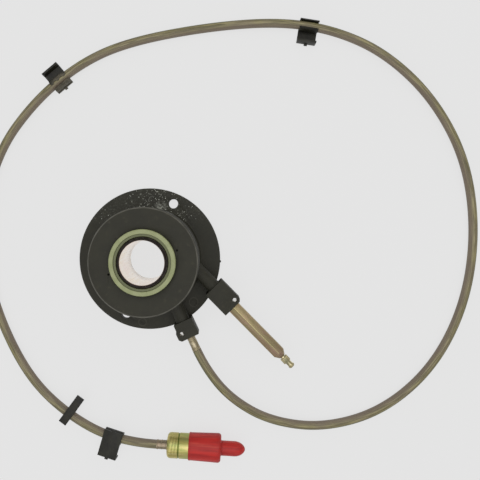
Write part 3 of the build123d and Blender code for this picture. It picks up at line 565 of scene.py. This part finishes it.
def bevelledCopy(nodeName, width, segments=2, degrees=38):  # the CAD solid with its sharp edges broken, width in mm
    shape = bmesh.new()
    shape.from_mesh(cadNodes[nodeName].data)
    bmesh.ops.remove_doubles(shape, verts=shape.verts, dist=1e-6)
    bmesh.ops.dissolve_limit(shape, angle_limit=math.radians(0.6), verts=shape.verts, edges=shape.edges)
    mesh = meshFrom(shape, nodeName + "Copy")
    smoothByAngle(mesh, degrees)
    holder = addObject(nodeName + "Copy", mesh)
    bevel = holder.modifiers.new("edges", "BEVEL")
    bevel.width = width * mm
    bevel.segments = segments
    bevel.limit_method = "ANGLE"
    bevel.angle_limit = math.radians(degrees)
    bevel.use_clamp_overlap = True
    return bakeModifiers(holder)


def finishPiece(name, mesh, body, material, replaced, place=None, sharp=32):
    if place is not None:
        mesh.transform(place)
    smoothByAngle(mesh, sharp)
    piece = addObject(name, mesh)
    mesh.materials.clear()
    mesh.materials.append(material)
    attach(piece, body)
    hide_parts(*replaced)
    return piece


def lathePiece(name, profile, body, material, node, place=None, steps=96, sharp=32):
    return finishPiece(name, latheMesh(name, profile, steps), body, material, [node], place, sharp)


def newTree(name, inputs):  # an empty Geometry Nodes tree with its named inputs
    tree = bpy.data.node_groups.new(name, "GeometryNodeTree")
    tree.interface.new_socket(name="Geometry", in_out="INPUT", socket_type="NodeSocketGeometry")
    tree.interface.new_socket(name="Geometry", in_out="OUTPUT", socket_type="NodeSocketGeometry")
    for label, kind in inputs.items():
        tree.interface.new_socket(name=label, in_out="INPUT", socket_type="NodeSocket" + kind)
    return tree, addNode(tree, "NodeGroupInput").outputs


def endTree(tree, geometry, material):  # what every tree ends in: real faces with their finish
    solid = addNode(tree, "GeometryNodeRealizeInstances", {0: geometry}).outputs[0]
    dressed = addNode(tree, "GeometryNodeSetMaterial", {"Geometry": solid, "Material": material}).outputs[0]
    addNode(tree, "NodeGroupOutput", {0: dressed})


def runTree(name, tree, mesh, values):  # what the tree makes of a mesh with these inputs, as a plain mesh
    holder = addObject(name, mesh)
    modifier = holder.modifiers.new("build", "NODES")
    modifier.node_group = tree
    for item in tree.interface.items_tree:
        if item.item_type == "SOCKET" and item.in_out == "INPUT" and item.name in values:
            modifier[item.identifier] = values[item.name]
    return bakeModifiers(holder)


print("5 housing")
housingEdges = {"bevel": 0.35, "segments": 2}
finishPiece(
    "mouldedHousing", bevelledCopy("housing", housingEdges["bevel"], housingEdges["segments"]),
    "cylinder", housingNylon, ["housing"],
)

print("6 sleeve, piston and stop ring")
boreSize = {
    "boreR": 15.1, "sleeveR": 16.3, "sleeveTop": 52.4, "footR": 21.0, "footT": 1.2,
    "ringZ": 49.0, "ringT": 1.4, "ringR": 17.5, "grooveR": 15.8,
    "pistonR": 22.6, "pistonTop": 51.6, "pistonBottom": 33.6, "pocketR": 17.75, "stepR": 19.5, "stepDepth": 1.2,
    "ribR": 19.5, "ribW": 1.6, "beadW": 2.4, "ribT": 1.5, "running": 0.05, "steps": 160,
}


def makeSleeve():
    s = boreSize
    profile = roundProfile([
        (s["boreR"], 0, 0.3), (s["footR"], 0, 0.25), (s["footR"], s["footT"], 0.3),
        (s["sleeveR"], s["footT"], 0.4), (s["sleeveR"], s["ringZ"], 0), (s["grooveR"], s["ringZ"], 0.1),
        (s["grooveR"], s["ringZ"] + s["ringT"], 0.1), (s["sleeveR"], s["ringZ"] + s["ringT"], 0),
        (s["sleeveR"], s["sleeveTop"], 0.35), (s["boreR"], s["sleeveTop"], 0.5),
    ])
    lathePiece("drawnGuideSleeve", profile, "cylinder", sleeveSteel, "guide_sleeve", steps=s["steps"])


def makePiston():
    s = boreSize
    inner = s["sleeveR"] + s["running"]
    low, top, rib, bead = s["pistonBottom"], s["pistonTop"], s["ribW"] / 2, s["beadW"] / 2
    profile = roundProfile([
        (inner, low, 0.2), (s["ribR"] - rib, low, 0.1), (s["ribR"] - rib, low + s["ribT"], 0),
        (s["ribR"] - bead, low + s["ribT"], 0), (s["ribR"] - bead, low + 2 * s["ribT"], 0.2),
        (s["ribR"] + bead, low + 2 * s["ribT"], 0.2), (s["ribR"] + bead, low + s["ribT"], 0),
        (s["ribR"] + rib, low + s["ribT"], 0), (s["ribR"] + rib, low, 0.1), (s["pistonR"], low, 0.3),
        (s["pistonR"], top, 0.6), (s["stepR"], top, 0.35), (s["stepR"], top - s["stepDepth"], 0.3),
        (s["pocketR"], top - s["stepDepth"], 0.3), (s["pocketR"], s["ringZ"] - s["running"], 0.2),
        (inner, s["ringZ"] - s["running"], 0.1),
    ])
    lathePiece("annularPiston", profile, "piston", pistonNylon, "piston", steps=s["steps"])


def makeStopRing():
    s = boreSize
    low, high = s["ringZ"], s["ringZ"] + s["ringT"]
    profile = roundProfile([
        (s["grooveR"], low, 0.05), (s["ringR"], low, 0.3), (s["ringR"], high, 0.4), (s["grooveR"], high, 0.1),
    ])
    lathePiece("stopRing", profile, "cylinder", springSteel, "stop_ring", steps=s["steps"])


makeSleeve()
makePiston()
makeStopRing()

print("7 springs and seals")
preload = {
    "radius": 19.5, "wire": 0.9, "start": 7.0, "end": 29.4, "turns": 4.5, "closing": 0.75, "points": 240, "sides": 14,
}
poppetCoil = {
    "radius": 1.9, "wire": 0.3, "start": 30.0, "end": 45.95, "turns": 9.0, "closing": 0.6, "points": 260, "sides": 10,
}
sealSize = {  # inner seat radius, section and height of each O-ring in its own frame
    "sleeve_seal": (16.3, 1.9, 4.1, None), "hose_fitting_seal": (3.0, 1.5, 56.15, hosePort),
    "bleed_tube_seal": (2.5, 1.5, 56.55, bleedPort), "probe_seal": (2.85, 1.2, 46.0, coupling),
}


def coilTree():  # a round wire wound about Z whose pitch closes at both ends
    tree, given = newTree("closedCoil", {
        "Radius": "Float", "Wire Radius": "Float", "Start": "Float", "End": "Float", "Turns": "Float",
        "Closing": "Float", "Points": "Int", "Sides": "Int", "Material": "Material",
    })
    line = addNode(tree, "GeometryNodeMeshLine", {"Count": given["Points"]}).outputs[0]
    values = dict(given.items())
    values["index"] = addNode(tree, "GeometryNodeInputIndex").outputs[0]
    for name, operation, first, second in (  # each row names its result and what it is worked out from
            ("gaps", "SUBTRACT", "Points", 1), ("part", "DIVIDE", "index", "gaps"),
            ("wound", "MULTIPLY", "part", "Turns"), ("turn", "MULTIPLY", "wound", 2 * math.pi),
            ("phase", "MULTIPLY", "part", 2 * math.pi), ("wave", "SINE", "phase", 0),
            ("closed", "MULTIPLY", "wave", "Closing"), ("lag", "MULTIPLY", "closed", 1 / (2 * math.pi)),
            ("share", "SUBTRACT", "part", "lag"), ("low", "ADD", "Start", "Wire Radius"),
            ("high", "SUBTRACT", "End", "Wire Radius"), ("rise", "SUBTRACT", "high", "low"),
            ("climb", "MULTIPLY", "rise", "share"), ("height", "ADD", "low", "climb"),
            ("cosine", "COSINE", "turn", 0), ("x", "MULTIPLY", "Radius", "cosine"),
            ("sine", "SINE", "turn", 0), ("y", "MULTIPLY", "Radius", "sine")):
        pair = {0: values[first], 1: values.get(second, second)}
        values[name] = addNode(tree, "ShaderNodeMath", pair, operation=operation).outputs[0]
    spot = addNode(tree, "ShaderNodeCombineXYZ", {0: values["x"], 1: values["y"], 2: values["height"]}).outputs[0]
    wound = addNode(tree, "GeometryNodeSetPosition", {"Geometry": line, "Position": spot}).outputs[0]
    path = addNode(tree, "GeometryNodeMeshToCurve", {"Mesh": wound}).outputs[0]
    wire = {"Resolution": given["Sides"], "Radius": given["Wire Radius"]}
    section = addNode(tree, "GeometryNodeCurvePrimitiveCircle", wire).outputs[0]
    swept = {"Curve": path, "Profile Curve": section, "Fill Caps": True}
    endTree(tree, addNode(tree, "GeometryNodeCurveToMesh", swept).outputs[0], given["Material"])
    return tree


def makeSpring(name, tree, size, node, place=None):
    values = {
        "Radius": size["radius"] * mm, "Wire Radius": size["wire"] * mm, "Start": size["start"] * mm,
        "End": size["end"] * mm, "Turns": size["turns"], "Closing": size["closing"], "Points": size["points"],
        "Sides": size["sides"], "Material": springSteel,
    }
    mesh = runTree(name, tree, bpy.data.meshes.new(name), values)
    return finishPiece(name, mesh, "cylinder", springSteel, [node], place, sharp=50)


def makeSeal(node):
    seat, section, height, place = sealSize[node]
    r, sides = section / 2, 16
    turns = [2 * math.pi * k / sides for k in range(sides)]
    profile = [(seat + r + r * math.cos(t), height + r * math.sin(t)) for t in turns]
    name = "oRing" + "".join(word.capitalize() for word in node.split("_")[:-1])
    return lathePiece(name, profile, "cylinder", nitrile, node, place, steps=72)


windCoil = coilTree()
preloadSpring = makeSpring("preloadSpring", windCoil, preload, "preload_spring")
poppetSpring = makeSpring("poppetSpring", windCoil, poppetCoil, "poppet_spring", coupling)
for sealNode in ("sleeve_seal", "hose_fitting_seal", "bleed_tube_seal"):
    makeSeal(sealNode)
probeSeal = makeSeal("probe_seal")

print("8 fitting, pins, bleed bar and screw")
fittingSize = {
    "fluidR": 1.1, "spigotR": 4.5, "spigotStart": 53.6, "spigotEnd": 63.7, "tubeR": 3.05, "tubeEnd": 76.0,
    "sealFrom": 55.2, "sealTo": 57.1, "sealR": 3.0, "pinFrom": 57.8, "pinTo": 61.4, "pinR": 4.2, "bead": 0.12,
    "waistAt": (3.2, 3.5, 4.3, 4.6), "endBead": (2.2, 1.9),  # from the spigot's end, and back from the tube's end
}


def makeFitting():
    s = fittingSize
    waist = [s["spigotEnd"] + run for run in s["waistAt"]]
    rise, full = [s["tubeEnd"] - run for run in s["endBead"]]
    profile = roundProfile([
        (s["fluidR"], s["spigotStart"], 0.2), (s["spigotR"], s["spigotStart"], 0.5), (s["spigotR"], s["sealFrom"], 0.1),
        (s["sealR"], s["sealFrom"], 0.1), (s["sealR"], s["sealTo"], 0.1), (s["spigotR"], s["sealTo"], 0.1),
        (s["spigotR"], s["pinFrom"], 0.05), (s["pinR"], s["pinFrom"], 0.05), (s["pinR"], s["pinTo"], 0.05),
        (s["spigotR"], s["pinTo"], 0.05), (s["spigotR"], s["spigotEnd"], 0.3), (s["tubeR"], s["spigotEnd"], 0.2),
        (s["tubeR"], waist[0], 0.1), (s["tubeR"] - s["bead"], waist[1], 0.1),
        (s["tubeR"] - s["bead"], waist[2], 0.1), (s["tubeR"], waist[3], 0.1),
        (s["tubeR"], rise, 0.1), (s["tubeR"] + s["bead"], full, 0.1),
        (s["tubeR"] + s["bead"], s["tubeEnd"], 0.2), (s["fluidR"], s["tubeEnd"], 0.1),
    ])
    lathePiece("hoseFittingTube", profile, "cylinder", fittingSteel, "hose_fitting", hosePort)


makeFitting()
for portPin in ("hose", "bleed"):
    pinNode = portPin + "_retaining_pin"
    finishPiece(
        portPin + "SpringPin", bevelledCopy(pinNode, 0.12), "cylinder", pinSteel[portPin], [pinNode])
finishPiece("bleedHexagonBar", bevelledCopy("bleed_tube", 0.3, 3, 25), "cylinder", barZinc, ["bleed_tube"])
finishPiece("bleedScrew", bevelledCopy("bleed_screw", 0.15, 2, 25), "bleed_screw", screwZinc, ["bleed_screw"])

print("9 coupling and cap")
couplingSize = {
    "fluidR": 1.1, "bodyR": 9.1, "backEdge": 2.6, "length": 34.0, "grooveAt": 8.2, "grooveW": 1.0, "grooveDepth": 0.4,
    "lineAt": (4.1, 6.2), "lineDepth": 0.1, "shellR": 7.5, "floor": 20.0, "seat": 8.0,
    "probeR": 3.9, "probeEnd": 51.0, "tipChamfer": 1.2, "noseHoleR": 1.6, "noseT": 3.0, "chamberR": 2.4,
    "chamberStart": 30.0, "sealFrom": 45.2, "sealTo": 46.8, "sealR": 2.85,
    "headR": 2.2, "headT": 2.0, "tipR": 1.2, "tipEnd": 52.2, "stemR": 0.9, "stemLength": 9.0, "face": 47.95,
    "ferruleR": 3.5, "ferruleLength": 8.0, "crimpDepth": 0.22,
    "endRing": 0.9, "crimpRamp": 0.3, "midRing": (3.7, 4.1), "midRingSunk": 0.06,  # the crimp's plain rings
}
capSize = {
    "mouth": 16.2, "length": 24.0, "mouthR": 9.7, "endR": 10.4, "wall": 0.5, "endWall": 1.0, "endEdge": 2.2,
    "noseR": 5.3, "noseWall": 0.8, "ogive": 8.0, "tip": 58.2, "lip": 0.18,
    "lipRun": (0.25, 1.1, 1.5), "lipFoot": 0.06, "noseSteps": 14, "noseDraw": 1.12,
}


def makeCouplingBody():
    s = couplingSize
    points = [(s["fluidR"], 0, 0.1), (s["bodyR"], 0, s["backEdge"])]
    for at in s["lineAt"]:
        points += [(s["bodyR"], at - 0.2, 0), (s["bodyR"] - s["lineDepth"], at, 0), (s["bodyR"], at + 0.2, 0)]
    grooveR = s["bodyR"] - s["grooveDepth"]
    points += [
        (s["bodyR"], s["grooveAt"], 0.15), (grooveR, s["grooveAt"], 0.15),
        (grooveR, s["grooveAt"] + s["grooveW"], 0.15), (s["bodyR"], s["grooveAt"] + s["grooveW"], 0.15),
    ]
    points += [
        (s["bodyR"], s["length"], 0.4), (s["shellR"], s["length"], 0.3), (s["shellR"], s["floor"], 0.6),
        (s["probeR"], s["floor"], 0.2), (s["probeR"], s["seat"], 0), (s["fluidR"], s["seat"], 0),
    ]
    return lathePiece(
        "couplingBody", roundProfile(points), "cylinder", couplingZinc, "coupling_body", coupling, steps=128)


def makeProbe():
    s = couplingSize
    tip, inner = s["probeEnd"], s["probeEnd"] - s["noseT"]
    profile = roundProfile([
        (s["fluidR"], s["seat"], 0), (s["probeR"], s["seat"], 0.2), (s["probeR"], s["sealFrom"], 0.15),
        (s["sealR"], s["sealFrom"], 0.1), (s["sealR"], s["sealTo"], 0.1), (s["probeR"], s["sealTo"], 0.15),
        (s["probeR"], tip - s["tipChamfer"], 0.4), (s["probeR"] - s["tipChamfer"], tip, 0.3),
        (s["noseHoleR"], tip, 0.15), (s["noseHoleR"], inner, 0), (s["chamberR"], inner, 0.1),
        (s["chamberR"], s["chamberStart"], 0.1), (s["fluidR"], s["chamberStart"], 0.1),
    ])
    return lathePiece("couplingProbe", profile, "cylinder", couplingZinc, "coupling_probe", coupling)


def makePoppet():
    s = couplingSize
    back = s["face"] - s["headT"]
    profile = roundProfile([
        (0, back - s["stemLength"], 0), (s["stemR"], back - s["stemLength"], 0.15), (s["stemR"], back, 0.1),
        (s["headR"], back, 0.1), (s["headR"], s["face"], 0.3), (s["tipR"], s["face"], 0.2),
        (s["tipR"], s["tipEnd"], 0.35), (0, s["tipEnd"], 0),
    ])
    return lathePiece("poppetValve", profile, "poppet", fittingSteel, "poppet", coupling, steps=64)


def makeFerrule():  # crimped, with a plain ring left at both ends and a lower one at the middle
    s = couplingSize
    r, low, crimp = s["ferruleR"], -s["ferruleLength"], s["ferruleR"] - s["crimpDepth"]
    end, ramp, midR = s["endRing"], s["crimpRamp"], r - s["midRingSunk"]
    near, far = [low + run for run in s["midRing"]]
    profile = roundProfile([
        (s["fluidR"], low, 0.1), (r, low, 0.25), (r, low + end, 0.15), (crimp, low + end + ramp, 0.15),
        (crimp, near - ramp, 0.1), (midR, near, 0.1), (midR, far, 0.1), (crimp, far + ramp, 0.1),
        (crimp, -end - ramp, 0.15), (r, -end, 0.15), (r, 0, 0.1), (s["fluidR"], 0, 0),
    ])
    return lathePiece("crimpedFerrule", profile, "cylinder", crimpSteel, "coupling_ferrule", coupling)


def capOutline(mouthR, endR, endZ, noseR, tip, lip, edge, inEdge):  # from the mouth to the tip, (radius, height)
    points = [(mouthR, capSize["mouth"], 0.15)]
    if lip:
        start, end, foot = [capSize["mouth"] + run for run in capSize["lipRun"]]
        points += [(mouthR + lip, start, 0.1), (mouthR + lip, end, 0.2), (mouthR + capSize["lipFoot"], foot, 0.2)]
    shoulder = tip - capSize["ogive"]
    points += [(endR, endZ, edge), (noseR, endZ, inEdge)]
    steps = capSize["noseSteps"]
    for k in range(steps + 1):  # the nose's end: an ellipse quarter, drawn in a little towards its tip
        part = math.pi / 2 * k / steps
        points.append((noseR * math.cos(part) ** capSize["noseDraw"], shoulder + capSize["ogive"] * math.sin(part), 0))
    return points


def makeCap():
    s = capSize
    endZ = s["mouth"] + s["length"]
    outer = capOutline(s["mouthR"], s["endR"], endZ, s["noseR"], s["tip"], s["lip"], s["endEdge"], 0.7)
    inner = capOutline(
        s["mouthR"] - s["wall"], s["endR"] - s["wall"], endZ - s["endWall"], s["noseR"] - s["noseWall"],
        s["tip"] - s["endWall"], 0, 1.2, 0.3,
    )
    outer[-1] = (0, s["tip"], 0)
    inner[-1] = (0, s["tip"] - s["endWall"], 0)
    profile = roundProfile(outer + inner[::-1], 6)
    return lathePiece("vinylCap", profile, "dust_cap", vinylRed, "dust_cap", coupling, 144, sharp=50)


couplingPieces = [makeFerrule(), makeCouplingBody(), makeProbe(), probeSeal, makePoppet(), poppetSpring, makeCap()]

print("10 hose and clips")
hoseSize = {
    "radius": 3.2, "length": 1.107, "ringStep": 1.6, "sides": 40,
    "start": (35.997, -67.063, 14.0), "lastRun": 17.0,
    "points": [
        (42.360, -80.646, 14.0),
        (61.0, -104.0, 11.4), (91.5, -123.0, 6.0), (133.5, -129.0, 3.4), (178.3, -115.6, 3.4),
        (216.4, -82.3, 3.4), (240.3, -34.6, 3.4), (248.3, 20.5, 3.4), (240.9, 75.6, 3.4),
        (216.0, 122.2, 3.4), (180.4, 155.9, 3.7), (141.8, 173.3, 4.7), (100.0, 180.1, 4.7),
        (46.6, 177.0, 3.4), (-13.4, 165.8, 3.7), (-50.6, 149.9, 4.7), (-86.6, 120.9, 4.7),
        (-116.8, 79.8, 3.7), (-129.5, 22.0, 3.4), (-120.5, -29.5, 3.4), (-101.2, -74.8, 3.6),
        (-78.6, -105.1, 4.3), (-43.7, -130.1, 5.2),
    ],
}
ferruleBack = coupling @ Vector((0, 0, -couplingSize["ferruleLength"] * mm))
lastBend = coupling @ Vector((0, 0, -(couplingSize["ferruleLength"] + hoseSize["lastRun"]) * mm))


def routeLine():  # the route's own smooth line: its spline's points, with no thickness
    curve = bpy.data.curves.new("hoseRoute", "CURVE")
    curve.dimensions = "3D"
    curve.resolution_u = 16
    route = [Vector(point) * mm for point in (hoseSize["start"], *hoseSize["points"])] + [lastBend, ferruleBack]
    spline = curve.splines.new("NURBS")
    spline.points.add(len(route) - 1)
    for point, spot in zip(spline.points, route):
        point.co = (*spot, 1)
    spline.order_u = 3
    spline.use_endpoint_u = True
    return bakeModifiers(addObject("hoseRoute", curve))


def sheathTree():  # a tube along the line that keeps, in "lay", where each point is across, up and along the hose
    tree, given = newTree("sheathAlongRoute", {
        "Hose Radius": "Float", "Ring Step": "Float", "Sides": "Int", "Material": "Material",
    })
    path = addNode(tree, "GeometryNodeMeshToCurve", {"Mesh": given["Geometry"]}).outputs[0]
    steps = {"Curve": path, "Length": given["Ring Step"]}
    path = addNode(tree, "GeometryNodeResampleCurve", steps, mode="LENGTH").outputs[0]
    place = addNode(tree, "GeometryNodeInputPosition").outputs[0]
    heading = addNode(tree, "GeometryNodeInputTangent").outputs[0]
    run = addNode(tree, "GeometryNodeSplineParameter").outputs["Length"]
    kinds = {"middle": "FLOAT_VECTOR", "heading": "FLOAT_VECTOR", "run": "FLOAT"}
    for label, source in (("middle", place), ("heading", heading), ("run", run)):
        stored = {"Geometry": path, "Name": label, "Value": source}
        path = addNode(
            tree, "GeometryNodeStoreNamedAttribute", stored, data_type=kinds[label], domain="POINT").outputs[0]
    around = {"Resolution": given["Sides"], "Radius": given["Hose Radius"]}
    section = addNode(tree, "GeometryNodeCurvePrimitiveCircle", around).outputs[0]
    swept = {"Curve": path, "Profile Curve": section, "Fill Caps": True}
    tube = addNode(tree, "GeometryNodeCurveToMesh", swept).outputs[0]
    kept = {}
    for label, kind in kinds.items():
        kept[label] = addNode(tree, "GeometryNodeInputNamedAttribute", {"Name": label}, data_type=kind).outputs[0]
    arm = addNode(tree, "ShaderNodeVectorMath", {0: place, 1: kept["middle"]}, operation="SUBTRACT").outputs[0]
    left = {0: (0, 0, 1), 1: kept["heading"]}
    left = addNode(tree, "ShaderNodeVectorMath", left, operation="CROSS_PRODUCT").outputs[0]
    across = addNode(tree, "ShaderNodeVectorMath", {0: arm, 1: left}, operation="DOT_PRODUCT").outputs["Value"]
    up = addNode(tree, "ShaderNodeSeparateXYZ", {0: arm}).outputs["Z"]
    lay = addNode(tree, "ShaderNodeCombineXYZ", {0: across, 1: up, 2: kept["run"]}).outputs[0]
    stored = {"Geometry": tube, "Name": "lay", "Value": lay}
    tube = addNode(
        tree, "GeometryNodeStoreNamedAttribute", stored, data_type="FLOAT_VECTOR", domain="POINT").outputs[0]
    for label in kinds:
        tube = addNode(tree, "GeometryNodeRemoveAttribute", {"Geometry": tube, "Name": label}).outputs[0]
    endTree(tree, tube, given["Material"])
    return tree


def makeHose():
    line = routeLine()
    values = {
        "Hose Radius": hoseSize["radius"] * mm, "Ring Step": hoseSize["ringStep"] * mm, "Sides": hoseSize["sides"],
        "Material": hoseSheath,
    }
    mesh = runTree("sheathedHose", sheathTree(), line, values)
    hose = finishPiece("sheathedHose", mesh, "cylinder", hoseSheath, ["line_hose"], sharp=50)


clipSize = {
    "bevel": 0.25, "segments": 2,
    "lipAt": (-68.6, 135.4, 4.7), "lipHeading": 38.8, "lipLength": 14.2, "lipR": 3.25, "lipT": 0.7, "lipReach": 92,
    "lipWave": 9, "lipWaves": 2.6, "lipFrom": -12, "lipEdge": 0.18, "lipSteps": (44, 10),  # along and around the hose
}


def makeLip():  # clip 2's retaining lip, worn wavy, that laps over the outer half of the hose
    s = clipSize
    along, around = s["lipSteps"]
    shape = bmesh.new()
    rows = []
    for i in range(along + 1):
        run = s["lipLength"] * (i / along - 0.5)
        reach = s["lipReach"] + s["lipWave"] * math.sin(2 * math.pi * s["lipWaves"] * i / along)
        turns = [math.radians(s["lipFrom"] + (reach - s["lipFrom"]) * k / around) for k in range(around + 1)]
        rows.append([
            shape.verts.new((run * mm, s["lipR"] * math.cos(t) * mm, s["lipR"] * math.sin(t) * mm)) for t in turns])
    for row, following in zip(rows, rows[1:]):
        for k in range(around):
            shape.faces.new((row[k], following[k], following[k + 1], row[k + 1]))
    bmesh.ops.recalc_face_normals(shape, faces=shape.faces)
    mesh = meshFrom(shape, "clipLip")
    place = Matrix.Translation([c * mm for c in s["lipAt"]]) @ Matrix.Rotation(math.radians(s["lipHeading"]), 4, "Z")
    mesh.transform(place)
    holder = addObject("clipLip", mesh)
    wall = holder.modifiers.new("wall", "SOLIDIFY")
    wall.thickness = s["lipT"] * mm
    wall.offset = 1 if mesh.polygons[0].normal.dot(mesh.polygons[0].center - place.translation) > 0 else -1
    edges = holder.modifiers.new("edges", "BEVEL")
    edges.width = s["lipEdge"] * mm
    edges.segments = 2
    edges.limit_method = "ANGLE"
    return bakeModifiers(holder)


def makeClip(number):
    mesh = bevelledCopy(f"line_clip_{number}", clipSize["bevel"], clipSize["segments"])
    if number == 2:
        shape = bmesh.new()
        shape.from_mesh(mesh)
        shape.from_mesh(makeLip())
        shape.to_mesh(mesh)
        shape.free()
    return finishPiece(
        f"hoseClip{number}", mesh, "cylinder", clipAcetal, [f"line_clip_{number}"])


clipPieces = [makeClip(number) for number in (1, 2, 3, 4)]
makeHose()

print("11 CAD nodes that stay take their finish")
for nodeName, finish in {"piston_seal": nitrile, "spring_seat": fittingSteel}.items():
    node = cadNodes[nodeName]
    if not node.material_slots:
        node.data.materials.append(finish)
    for materialSlot in node.material_slots:
        materialSlot.material = finish

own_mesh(preloadSpring)
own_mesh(poppetSpring)

bpy.context.view_layer.update()
print("13 finishing")
